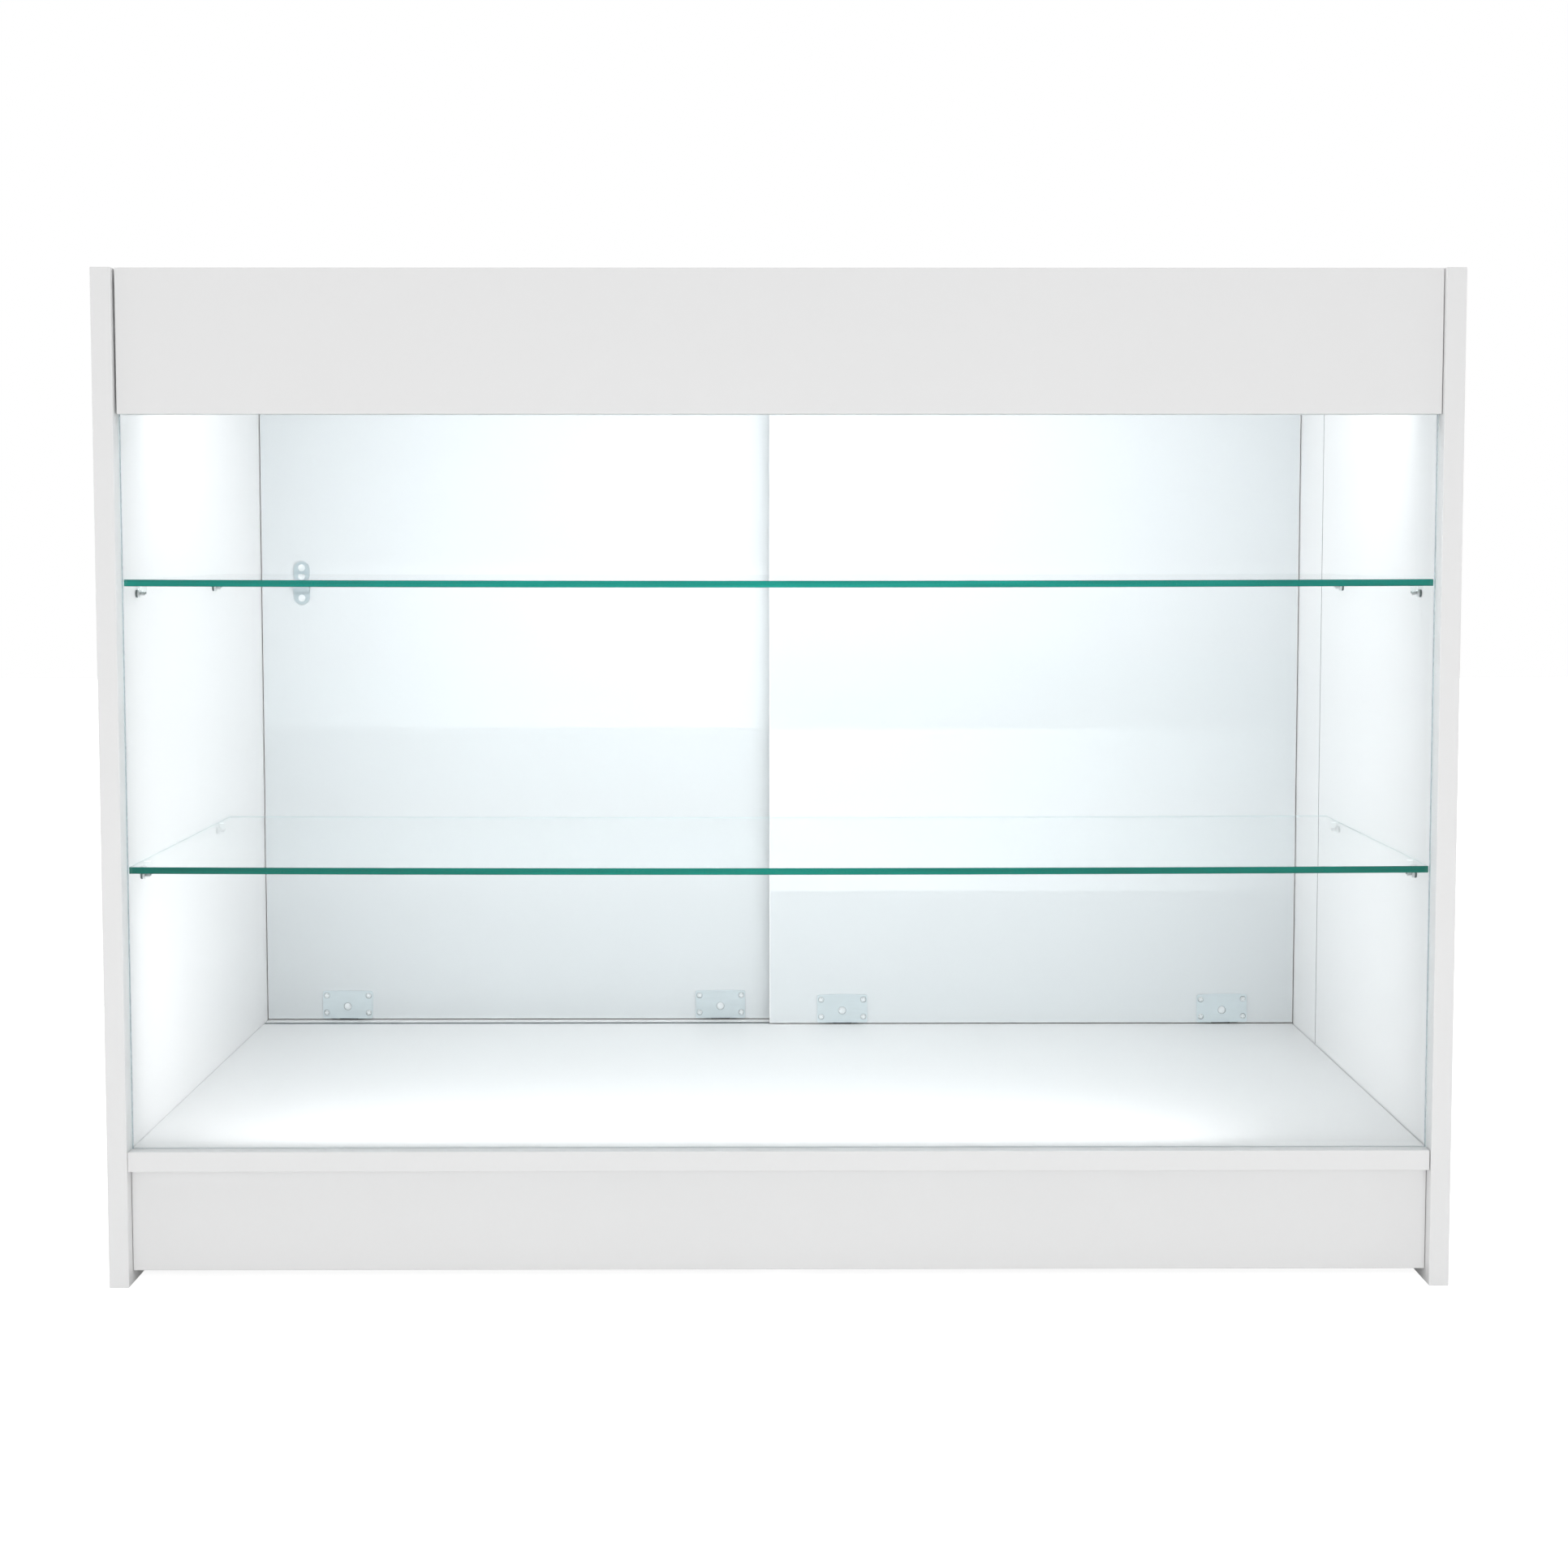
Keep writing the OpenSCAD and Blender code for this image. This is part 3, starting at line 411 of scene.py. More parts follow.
# painted shade: the pegs' nickel painted dark next to the panel
PIN_SHADE_RING = finish("pin_ring_painted_shade", METAL, {
    "Color": (0.16, 0.19, 0.19, 1), "Tone": 0.2, "Lines": (900, 300, 300), "Rough": 0.35, "Spread": 0.1},
    {"Metallic": 0.8}, 0.00001)
PIN = finish("nickel_pin", METAL, {
    "Color": (0.86, 0.88, 0.88, 1), "Tone": 0.12, "Lines": (900, 160, 160), "Rough": 0.3, "Spread": 0.1},
    {"Metallic": 1.0}, 0.00001)
ZINC = finish("zinc_plate", METAL, {
    "Color": (0.75, 0.83, 0.855, 1), "Tone": 0.22, "Lines": (60, 500, 260), "Rough": 0.45, "Spread": 0.25},
    {"Metallic": 0.65}, 0.00003)
LOCK_ZINC = finish("lock_zinc", METAL, {
    "Color": (0.60, 0.69, 0.72, 1), "Tone": 0.2, "Lines": (60, 500, 260), "Rough": 0.4, "Spread": 0.2},
    {"Metallic": 0.65}, 0.00003)
STEEL = finish("bright_screw_steel", METAL, {
    "Color": (0.88, 0.92, 0.93, 1), "Tone": 0.12, "Lines": (700, 700, 120), "Rough": 0.3, "Spread": 0.15},
    {"Metallic": 0.5}, 0.00002)
# painted shade: near-black put in the screw crosses, the lock boss's bore and the keyway, where shade falls
RECESS_SHADE = finish("recess_painted_shade", METAL, {
    "Color": (0.03, 0.04, 0.045, 1), "Tone": 0.4, "Lines": (900, 900, 900), "Rough": 0.5, "Spread": 0.2},
    {"Metallic": 0.6}, 0.00002)
# painted shade: the plates' zinc painted dark in the countersinks, as a shadow ring round each screw head
COUNTERSINK_SHADE = finish("countersink_painted_shade", METAL, {
    "Color": (0.20, 0.25, 0.27, 1), "Tone": 0.2, "Lines": (400, 400, 400), "Rough": 0.4, "Spread": 0.15},
    {"Metallic": 0.5}, 0.00002)
CAM_METAL = finish("die_cast_cam", METAL, {
    "Color": (0.5, 0.51, 0.52, 1), "Tone": 0.2, "Lines": (500, 500, 500), "Rough": 0.5, "Spread": 0.2},
    {"Metallic": 1.0}, 0.00004)
PLASTIC = finish("moulded_white_plastic", SKIN, {
    "Color": (0.80, 0.81, 0.81, 1), "Tone": 0.03, "Cloud": 20.0, "Grain": 2400.0, "Rough": 0.45,
    "Spread": 0.12},
    relief=0.00003)
BEECH = finish("fluted_beech", GRAIN, {"Color": (0.66, 0.46, 0.27, 1)}, relief=0.0002)
ALUMINIUM = finish("anodised_rail", METAL, {
    "Color": (0.74, 0.76, 0.77, 1), "Tone": 0.08, "Lines": (4, 900, 900), "Rough": 0.34, "Spread": 0.1},
    {"Metallic": 1.0}, 0.00002)
ACETAL = finish("black_wheel_acetal", SKIN, {
    "Color": (0.012, 0.012, 0.013, 1), "Tone": 0.2, "Cloud": 60.0, "Grain": 1800.0, "Rough": 0.4,
    "Spread": 0.12},
    relief=0.00003)
NYLON = finish("guide_nylon_white", SKIN, {
    "Color": (0.78, 0.78, 0.74, 1), "Tone": 0.05, "Cloud": 60.0, "Grain": 1800.0, "Rough": 0.38,
    "Spread": 0.12},
    {"Subsurface Weight": 0.15, "Subsurface Scale": 0.002}, 0.00003)
BRASS = finish("turned_brass", METAL, {
    "Color": (0.74, 0.54, 0.22, 1), "Tone": 0.15, "Lines": (200, 1500, 200), "Rough": 0.28, "Spread": 0.12},
    {"Metallic": 1.0}, 0.00002)
PULL = finish("brushed_pull", METAL, {
    "Color": (0.78, 0.80, 0.81, 1), "Tone": 0.14, "Lines": (30, 30, 1400), "Rough": 0.34, "Spread": 0.12},
    {"Metallic": 0.8, "Anisotropic": 0.4}, 0.00002)
CHROME = finish("bright_chrome", METAL, {
    "Color": (0.82, 0.83, 0.84, 1), "Tone": 0.04, "Lines": (300, 300, 300), "Rough": 0.08, "Spread": 0.08},
    {"Metallic": 1.0}, 0.000004)
OPAL = finish("opal_diffuser", SKIN, {
    "Color": (0.9, 0.93, 0.95, 1), "Tone": 0.02, "Cloud": 8.0, "Grain": 3000.0, "Rough": 0.35, "Spread": 0.1},
    {"Emission Color": (0.90, 0.97, 1.0, 1), "Emission Strength": 3.0}, 0.00001)


BOARD_THICK = 1.05 * MM                 # board of the light strip, down to the tops of its chips
PAD_EVERY, COPPER_LONG = 40 * MM, 7 * MM


def light_board():
    """White circuit board with copper pads, and yellow light chips under it."""
    material = finish("light_board", SKIN, {
        "Color": (0.82, 0.83, 0.80, 1), "Tone": 0.04, "Cloud": 90.0, "Grain": 2600.0, "Rough": 0.4})
    tree = material.node_tree
    base = tree.nodes["Principled BSDF"]
    skin = next(n for n in tree.nodes if n.type == "GROUP")
    board_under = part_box("led_strip")[1].z - BOARD_THICK
    place = add(tree, "ShaderNodeTexCoord")
    parts = add(tree, "ShaderNodeSeparateXYZ")
    below = add(tree, "ShaderNodeMath", {1: board_under}, operation="LESS_THAN")
    pads = add(tree, "ShaderNodeMath", {1: PAD_EVERY / 2}, operation="PINGPONG")
    near = add(tree, "ShaderNodeMath", {1: (PAD_EVERY - COPPER_LONG) / 2}, operation="GREATER_THAN")
    copper = add(tree, "ShaderNodeMix", {"B": (0.72, 0.42, 0.2, 1)}, data_type="RGBA")
    chips = add(tree, "ShaderNodeMix", {"B": (0.85, 0.72, 0.16, 1)}, data_type="RGBA")
    join(tree, place, "Object", parts, 0)
    join(tree, parts, "Z", below, 0)
    join(tree, parts, "X", pads, 0)
    join(tree, pads, 0, near, 0)
    join(tree, skin, "Color", copper, "A")
    join(tree, near, 0, copper, "Factor")
    join(tree, copper, "Result", chips, "A")
    join(tree, below, 0, chips, "Factor")
    join(tree, chips, "Result", base, "Base Color")
    return material


# ---------------------------------------------------------------- mesh helpers


def stand_for(obj, *names):
    """The piece rides with the CAD nodes it replaces, and hides them."""
    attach(obj, BODY_OF[names[0]])
    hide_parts(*names)
    return obj


def to_object(name, shape, *materials, weighted=True):
    """Turns a bmesh into an object with soft shading that stays flat on flat faces."""
    bmesh.ops.recalc_face_normals(shape, faces=shape.faces)
    mesh = bpy.data.meshes.new(name)
    shape.to_mesh(mesh)
    shape.free()
    mesh.polygons.foreach_set("use_smooth", [True] * len(mesh.polygons))
    mesh.set_sharp_from_angle(angle=math.radians(50))
    for material in materials:
        mesh.materials.append(material)
    obj = bpy.data.objects.new(name, mesh)
    scene.collection.objects.link(obj)
    if weighted:
        normals = obj.modifiers.new("flat_faces", "WEIGHTED_NORMAL")
        normals.keep_sharp = True
        normals.weight = 100
    return obj


def lathe(profile, steps=48, closed=False):
    """A shape turned about Z from (radius, height) points; a point on the axis closes it."""
    shape = bmesh.new()
    rings = []
    for radius, height in profile:
        if radius < 1e-7:
            rings.append([shape.verts.new((0, 0, height))] * steps)
        else:
            rings.append([shape.verts.new((radius * math.cos(2 * math.pi * i / steps),
                                           radius * math.sin(2 * math.pi * i / steps), height))
                          for i in range(steps)])
    pairs = list(zip(rings, rings[1:] + rings[:1])) if closed else list(zip(rings, rings[1:]))
    for first, second in pairs:
        for i in range(steps):
            k = (i + 1) % steps
            corners = list(dict.fromkeys([first[i], first[k], second[k], second[i]]))
            if len(corners) > 2:
                shape.faces.new(corners)
    return shape


def cad_shape(node, clean=True):
    """A copy of a CAD mesh; cleaned, its flat faces are whole again instead of triangles."""
    shape = bmesh.new()
    shape.from_mesh(nodes[node].data)
    if clean:
        bmesh.ops.remove_doubles(shape, verts=shape.verts, dist=1e-6)
        bmesh.ops.dissolve_limit(shape, angle_limit=math.radians(0.6), verts=shape.verts, edges=shape.edges)
    return shape


def block_shape(low, high, chamfer):
    """A block between two corners, with its edges chamfered."""
    shape = bmesh.new()
    bmesh.ops.create_cube(shape, size=1.0)
    size, middle = high - low, (high + low) / 2
    for vert in shape.verts:
        vert.co = Vector(vert.co[i] * size[i] + middle[i] for i in range(3))
    return ease(shape, chamfer, segments=1)


def ease(shape, width, angle=40, segments=2, above=None):
    """Rounds the sharp edges of a shape, or only those that lie wholly above a height."""
    edges = [e for e in shape.edges if len(e.link_faces) == 2 and e.calc_face_angle(0) > math.radians(angle)
             and (above is None or min(v.co.z for v in e.verts) > above)]
    bmesh.ops.bevel(shape, geom=edges, offset=width, segments=segments, profile=0.5,
                    affect="EDGES", clamp_overlap=True)
    return shape


def prism(outline, low, high, taper=1.0):
    """A straight shape from a flat outline, between two heights; taper shrinks its low end."""
    shape = bmesh.new()
    bottom = [shape.verts.new((x * taper, y * taper, low)) for x, y in outline]
    top = [shape.verts.new((x, y, high)) for x, y in outline]
    shape.faces.new(list(reversed(bottom)))
    shape.faces.new(top)
    for i in range(len(outline)):
        k = (i + 1) % len(outline)
        shape.faces.new((bottom[i], bottom[k], top[k], top[i]))
    return shape


def rounded_outline(width, height, radius, arch=0.0, steps=6):
    """A rectangle with round corners; its upper edge may rise by arch in the middle."""
    points = []
    for quarter, (sx, sy) in enumerate(((1, 1), (-1, 1), (-1, -1), (1, -1))):
        cx, cy = sx * (width / 2 - radius), sy * (height / 2 - radius)
        for i in range(steps + 1):
            turn = math.pi / 2 * (quarter + i / steps)
            points.append((cx + radius * math.cos(turn), cy + radius * math.sin(turn)))
        if quarter == 0 and arch:
            for i in range(1, 8):
                u = 1 - i / 4
                points.append((u * (width / 2 - radius), height / 2 + arch * (1 - u * u)))
    return points


BLANKS = [bpy.data.materials.new("blank_face"), bpy.data.materials.new("blank_cut")]


def cut(shape, *tools):
    """Takes closed shapes out of another; their cut faces carry the second material."""
    def temporary(data):
        mesh = bpy.data.meshes.new("work")
        data.to_mesh(mesh)
        data.free()
        for blank in BLANKS:
            mesh.materials.append(blank)
        obj = bpy.data.objects.new("work", mesh)
        scene.collection.objects.link(obj)
        return obj
    bmesh.ops.recalc_face_normals(shape, faces=shape.faces)
    base = temporary(shape)
    parts = []
    for tool in tools:
        bmesh.ops.recalc_face_normals(tool, faces=tool.faces)
        for face in tool.faces:
            face.material_index = 1
        parts.append(temporary(tool))
        step = base.modifiers.new("cut", "BOOLEAN")
        step.operation = "DIFFERENCE"
        step.solver = "EXACT"
        step.object = parts[-1]
    bpy.context.view_layer.update()
    graph = bpy.context.evaluated_depsgraph_get()
    mesh = bpy.data.meshes.new_from_object(base.evaluated_get(graph))
    result = bmesh.new()
    result.from_mesh(mesh)
    bpy.data.meshes.remove(mesh)
    for obj in [base, *parts]:
        data = obj.data
        bpy.data.objects.remove(obj)
        bpy.data.meshes.remove(data)
    return result


def gather(placed):
    """One shape from several (shape, matrix) pairs; the shapes stay usable."""
    whole = bmesh.new()
    for shape, matrix in placed:
        mesh = bpy.data.meshes.new("copy")
        shape.to_mesh(mesh)
        mesh.transform(matrix)
        whole.from_mesh(mesh)
        bpy.data.meshes.remove(mesh)
    return whole


def facing(point, direction, turn=0.0, lean=(0.0, 0.0)):
    """Puts a shape at a point with its +Z along a direction, turned about it and leaning a little."""
    aim = Vector(direction).to_track_quat("Z", "Y").to_matrix().to_4x4()
    tilt = Matrix.Rotation(lean[0], 4, "X") @ Matrix.Rotation(lean[1], 4, "Y")
    return Matrix.Translation(Vector(point)) @ aim @ tilt @ Matrix.Rotation(turn, 4, "Z")


# ---------------------------------------------------------------- boards and doors


BOARD_ARRIS = 0.8 * MM
ON_FACE = 2e-6                          # how near a point is to the outside of its board


def eased_board(name, node, inside=None):
    """A board from its CAD shape with the long arrises rounded; faces cut into it show the raw core, painted
    far darker than chipboard as shade in the cuts.
    inside is the finish of the face turned to the glass, where it differs; for the doors it paints that face
    darker and cooler as shade."""
    low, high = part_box(node)
    shape = cad_shape(node)

    def sides(point):
        return {(axis, end) for axis in range(3) for end, corner in enumerate((low, high))
                if abs(point[axis] - corner[axis]) < ON_FACE}

    for face in shape.faces:
        shared = set.intersection(*(sides(v.co) for v in face.verts))
        face.material_index = 2 if inside and (1, 0) in shared else 0 if shared else 1
    outer = [e for e in shape.edges if len(sides(e.verts[0].co) & sides(e.verts[1].co)) >= 2]
    bmesh.ops.bevel(shape, geom=outer, offset=BOARD_ARRIS, segments=3, profile=0.5, affect="EDGES",
                    clamp_overlap=True, material=0)
    return stand_for(to_object(name, shape, BOARD, CORE_AND_SHADE, *([inside] if inside else [])), node)


for node, name in [
        ("side_panel_left", "left_side_board"), ("side_panel_right", "right_side_board"),
        ("worktop", "worktop_board"), ("fascia", "fascia_board"), ("deck", "deck_board"),
        ("kick_board_front", "front_kick_board"), ("kick_board_rear", "rear_kick_board"),
        ("deck_stretcher", "under_deck_stretcher")]:
    eased_board(name, node)
for side in ("left", "right"):
    eased_board(side + "_door_board", "door_" + side, DOOR_FACE_SHADE)

# ---------------------------------------------------------------- glass


SHELF_CHAMFER, PANE_CHAMFER = 0.25 * MM, 0.4 * MM
SAG_STEPS = 24
FLAT_ON = 0.95                          # least normal share of a face that lies across an axis


def glass_shelf(name, node, front, sag):
    """A shelf with ground edges that droops a little between its ends."""
    low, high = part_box(node)
    shape = block_shape(low, high, SHELF_CHAMFER)
    size_x, middle_x = high.x - low.x, (high.x + low.x) / 2
    for n in range(1, SAG_STEPS):
        bmesh.ops.bisect_plane(shape, geom=shape.verts[:] + shape.edges[:] + shape.faces[:],
                               plane_co=(low.x + size_x * n / SAG_STEPS, 0, 0), plane_no=(1, 0, 0))
    for vert in shape.verts:
        share = (vert.co.x - middle_x) / (size_x / 2)
        vert.co.z -= sag * (1 - share * share)
    shape.normal_update()
    for face in shape.faces:
        if abs(face.normal.z) > FLAT_ON:
            face.material_index = 0
        else:
            face.material_index = 1 if face.normal.y < -FLAT_ON else 3 if face.normal.y < -0.5 else 2
    return stand_for(to_object(name, shape, SHELF, front, SHELF_SIDE, SHELF_ARRIS_SHADE), node)


def front_pane():
    """The upright front glass: its two broad faces are clear and its narrow edges are ground."""
    shape = block_shape(*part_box("front_glass"), PANE_CHAMFER)
    shape.normal_update()
    for face in shape.faces:
        face.material_index = 0 if abs(face.normal.y) > FLAT_ON else 1
    return stand_for(to_object("front_glass_pane", shape, PANE, PANE_EDGE), "front_glass")


glass_shelf("upper_glass_shelf", "shelf_upper", UPPER_FRONT, 1.3 * MM)
glass_shelf("lower_glass_shelf", "shelf_lower", LOWER_FRONT_SHADED, 1.5 * MM)
front_pane()

# ---------------------------------------------------------------- shelf pins and pads

PEG_LONG, PEG_TIP_R, PEG_REACH = 4.5 * MM, 1.8 * MM, 8.5 * MM
PAD_R, PAD_FROM_SIDE, PAD_OVER_PEG = 3.6 * MM, 5.8 * MM, 4.0 * MM
SPIGOT_R, SPIGOT_LONG = 2.5 * MM, 9 * MM
SHADE_RING_LONG = 2.0 * MM                    # painted shade on the peg, from the panel


def shelf_supports():
    """Pegs with a ring painted dark as shade and a bright head against the panel and a thin tip, and clear
    pads on them.
    """
    pads = []
    for shelf in ("shelf_pins_upper", "shelf_pins_lower"):
        low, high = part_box(shelf)
        peg_r = (high.z - low.z) / 2
        axis_z = (low.z + high.z) / 2
        wall = high.x - SPIGOT_LONG
        head_r = peg_r - 0.05 * MM
        peg = lathe([(0, -SPIGOT_LONG), (SPIGOT_R, -SPIGOT_LONG), (SPIGOT_R, 0), (peg_r, 0),
                     (peg_r, 1.9 * MM), (peg_r - 0.35 * MM, 2.1 * MM), (head_r, 2.5 * MM), (head_r, 3.8 * MM),
                     (peg_r - 0.5 * MM, 4.3 * MM), (peg_r - 1.0 * MM, PEG_LONG), (PEG_TIP_R, PEG_LONG),
                     (PEG_TIP_R, PEG_REACH - 0.5 * MM), (PEG_TIP_R - 0.5 * MM, PEG_REACH), (0, PEG_REACH)])
        for face in peg.faces:
            face.material_index = 1 if 0 < face.calc_center_median().z < SHADE_RING_LONG else 0
        places = [(side, y) for side in (-1, 1) for y in (low.y + peg_r, high.y - peg_r)]
        whole = gather([(peg, facing((side * wall, y, axis_z), (-side, 0, 0))) for side, y in places])
        peg.free()
        stand_for(to_object(shelf.replace("shelf_pins", "pegs"), whole, PIN, PIN_SHADE_RING), shelf)
        tall = peg_r + PAD_OVER_PEG
        for side, y in places:
            cap = ease(lathe([(0, 0), (PAD_R, 0), (PAD_R, tall), (0, tall)]), 0.4 * MM)
            bore = lathe([(0, -20 * MM), (peg_r, -20 * MM), (peg_r, PEG_LONG), (PEG_TIP_R, PEG_LONG),
                          (PEG_TIP_R, PEG_REACH), (0, PEG_REACH)])
            bore.transform(facing((side * PAD_FROM_SIDE, 0, 0), (-side, 0, 0)))
            pad = cut(cap, bore)
            pad.transform(Matrix.Translation((side * (wall - PAD_FROM_SIDE), y, axis_z)))
            pads.append(pad)
    whole = gather([(shape, Matrix.Identity(4)) for shape in pads])
    for shape in pads:
        shape.free()
    for face in whole.faces:
        face.material_index = 0
    stand_for(to_object("clear_shelf_pads", whole, PAD), "shelf_pads")


shelf_supports()

# ---------------------------------------------------------------- screws


CROSS_REACH, CROSS_WIDE, CROSS_DEEP = 2.0 * MM, 1.15 * MM, 1.2 * MM
NECK_LONG = 1.2 * MM                    # the head narrows to the shank over this length


def cross_cutter():
    """Star-shaped tool that narrows as it goes in."""
    r, w = CROSS_REACH, CROSS_WIDE / 2
    outline = [(r, -w), (r, w), (w, w), (w, r), (-w, r), (-w, w),
               (-r, w), (-r, -w), (-w, -w), (-w, -r), (w, -r), (w, -w)]
    return prism(outline, -CROSS_DEEP, 0.6 * MM, taper=0.45)


def cross_screw(head_r, crown, shank_r, length):
    """A crowned screw with a cross recess; its head starts at Z = 0 and the shank runs down."""
    crown_steps = [(head_r * math.sin(math.pi / 2 * i / 8), crown * math.cos(math.pi / 2 * i / 8) ** 1.4)
                   for i in range(8)]
    profile = crown_steps + [(head_r, 0.0), (head_r, -0.15 * MM), (shank_r, -NECK_LONG),
                             (shank_r, -length + 2 * MM), (0.2 * MM, -length), (0, -length)]
    return cut(lathe(profile, 40), cross_cutter())


# ---------------------------------------------------------------- roller plates

PLATE_W, PLATE_H, PLATE_T = 57 * MM, 32 * MM, 1.5 * MM
CORNER_X, CORNER_LOW, CORNER_HIGH = 23.75 * MM, 7.0 * MM, 26.5 * MM
AXLE_UP = 14.2 * MM
PLATE_CLEAR = 0.6 * MM                  # kept free round the plate's outline
CORNER_SEAT, AXLE_SEAT = 1.25 * MM, 1.3 * MM     # undersides of the heads, from the door
MAX_TIP = 0.09                          # radians a corner screw may sit out of square


def hole_tool(x, y, hole_r, rim_from, rim_r, rim_to, steps):
    """Cutter for a plate's hole, which widens to its rim between two heights."""
    tool = lathe([(0, -1 * MM), (hole_r, -1 * MM), (hole_r, rim_from), (rim_r, rim_to), (rim_r, 2 * MM),
                  (0, 2 * MM)], steps)
    tool.transform(Matrix.Translation((x, y, 0)))
    return tool


def roller_set(side, shapes):
    """The two plates of one door with their screws. shapes holds each plate's lean and upper edge's arch."""
    low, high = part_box("roller_plates_" + side)
    face = high.y
    plates, corners, axles = [], [], []
    for centre, (lean, arch) in zip((low.x + PLATE_W / 2, high.x - PLATE_W / 2), shapes):
        outline = rounded_outline(PLATE_W - PLATE_CLEAR, PLATE_H - PLATE_CLEAR, 2.2 * MM, arch)
        plate = ease(prism(outline, 0, PLATE_T), 0.45 * MM, angle=60, segments=3, above=1 * MM)
        holes = []
        for x in (-CORNER_X, CORNER_X):
            for z in (CORNER_LOW, CORNER_HIGH):
                holes.append(hole_tool(x, z - PLATE_H / 2, 2 * MM, 0.3 * MM, 3.25 * MM, 1.0 * MM, 32))
                turn = draws.uniform(0, math.pi / 2)
                tip = draws.uniform(-MAX_TIP, MAX_TIP), draws.uniform(-MAX_TIP, MAX_TIP)
                corners.append(facing((centre + x, face - CORNER_SEAT, low.z + z), (0, -1, 0), turn, tip))
        holes.append(hole_tool(0, AXLE_UP - PLATE_H / 2, 2.6 * MM, 0.2 * MM, 4.4 * MM, 0.5 * MM, 40))
        axles.append(facing((centre, face - AXLE_SEAT, low.z + AXLE_UP), (0, -1, 0), draws.uniform(0.5, 0.9)))
        plates.append((cut(plate, *holes), Matrix.Translation((centre, face, low.z + PLATE_H / 2))
                       @ Matrix.Rotation(math.pi / 2, 4, "X") @ Matrix.Rotation(lean, 4, "Z")))
    stand_for(to_object(side + "_roller_plates", gather(plates), ZINC, COUNTERSINK_SHADE), "roller_plates_" + side)
    screw = cross_screw(2.9 * MM, 0.8 * MM, 1.75 * MM, 12 * MM)
    axle = cross_screw(4.1 * MM, 1.2 * MM, 2.5 * MM, 15 * MM)
    for name, node, shape, places in [("_plate_screws", "roller_screws_", screw, corners),
                                      ("_wheel_axles", "roller_axles_", axle, axles)]:
        whole = gather([(shape, place) for place in places])
        stand_for(to_object(side + name, whole, STEEL, RECESS_SHADE), node + side)
    for shape in [screw, axle] + [plate for plate, place in plates]:
        shape.free()


roller_set("left", [(-0.006, 0.35 * MM), (0.004, 0.45 * MM)])
roller_set("right", [(0.002, 0.7 * MM), (0.012, 0.6 * MM)])

# ---------------------------------------------------------------- lock


LOCK_LOW, LOCK_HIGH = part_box("lock_body")
LOCK_X, LOCK_Z = (LOCK_LOW.x + LOCK_HIGH.x) / 2, (LOCK_LOW.z + LOCK_HIGH.z) / 2
DOOR_IN, DOOR_OUT = (corner.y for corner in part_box("door_left"))
LOCK_PLATE_T = 1.5 * MM
BOSS_HIGH, BOSS_WALL = 20 * MM, 2.5 * MM
BARREL_R, BARREL_BORE_R, BARREL_LONG = 8 * MM, 6.55 * MM, 17.5 * MM
BOLT_R, SLEEVE_R, SLEEVE_BORE_R, SLEEVE_DEEP = 4 * MM, 6.5 * MM, 5.08 * MM, 13 * MM
BOLT_TRAVEL, SPRING_SOLID = 7 * MM, 4.2 * MM
FIXING_APART = 34 * MM


def lock_case():
    """Plate and boss inside the door, and the barrel through it."""
    width, height = LOCK_HIGH.x - LOCK_LOW.x, LOCK_HIGH.z - LOCK_LOW.z
    proud = DOOR_IN - LOCK_LOW.y
    plate = prism(rounded_outline(width, height, width / 2 - 0.01 * MM, steps=10), 0, LOCK_PLATE_T)
    ease(plate, 0.4 * MM, angle=60, segments=3, above=1 * MM)
    boss = prism(rounded_outline(width, BOSS_HIGH, 1.6 * MM), 0, proud)
    ease(boss, 0.9 * MM, angle=60, segments=3, above=3 * MM)
    boss = cut(boss, lathe([(0, -1 * MM), (4.1 * MM, -1 * MM), (4.1 * MM, 9 * MM), (0, 9 * MM)]))
    end = 0.3 * MM - BARREL_LONG
    barrel = lathe([(BARREL_BORE_R, 0.5 * MM), (BARREL_R, 0.5 * MM), (BARREL_R, end),
                    (7.7 * MM, -BARREL_LONG), (6.8 * MM, -BARREL_LONG), (BARREL_BORE_R, end)], closed=True)
    place = Matrix.Translation((LOCK_X, DOOR_IN, LOCK_Z)) @ Matrix.Rotation(math.pi / 2, 4, "X")
    whole = gather([(shape, place) for shape in (plate, boss, barrel)])
    stand_for(to_object("lock_case", whole, LOCK_ZINC, RECESS_SHADE), "lock_body")


def lock_fixing_screws():
    """One screw above the boss and one below it."""
    screw = cross_screw(3.95 * MM, 1.3 * MM, 1.75 * MM, 12 * MM)
    spots = [facing((LOCK_X, DOOR_IN - LOCK_PLATE_T, LOCK_Z + side * FIXING_APART / 2), (0, -1, 0),
                    draws.uniform(0.1, 0.7)) for side in (-1, 1)]
    whole = gather([(screw, spot) for spot in spots])
    stand_for(to_object("lock_fixing_screws", whole, STEEL, RECESS_SHADE), "lock_screws")


def lock_trim_ring():
    """Round trim on the door's outer face."""
    ring = lathe([(8.02 * MM, 0), (12 * MM, 0), (12 * MM, 0.6 * MM), (11.4 * MM, 1.2 * MM),
                  (10.2 * MM, 1.5 * MM), (8.5 * MM, 1.5 * MM), (8.02 * MM, 1.2 * MM)], 64, closed=True)
    ring.transform(facing((LOCK_X, DOOR_OUT, LOCK_Z), (0, 1, 0)))
    stand_for(to_object("lock_trim_ring", ring, CHROME), "lock_ring")


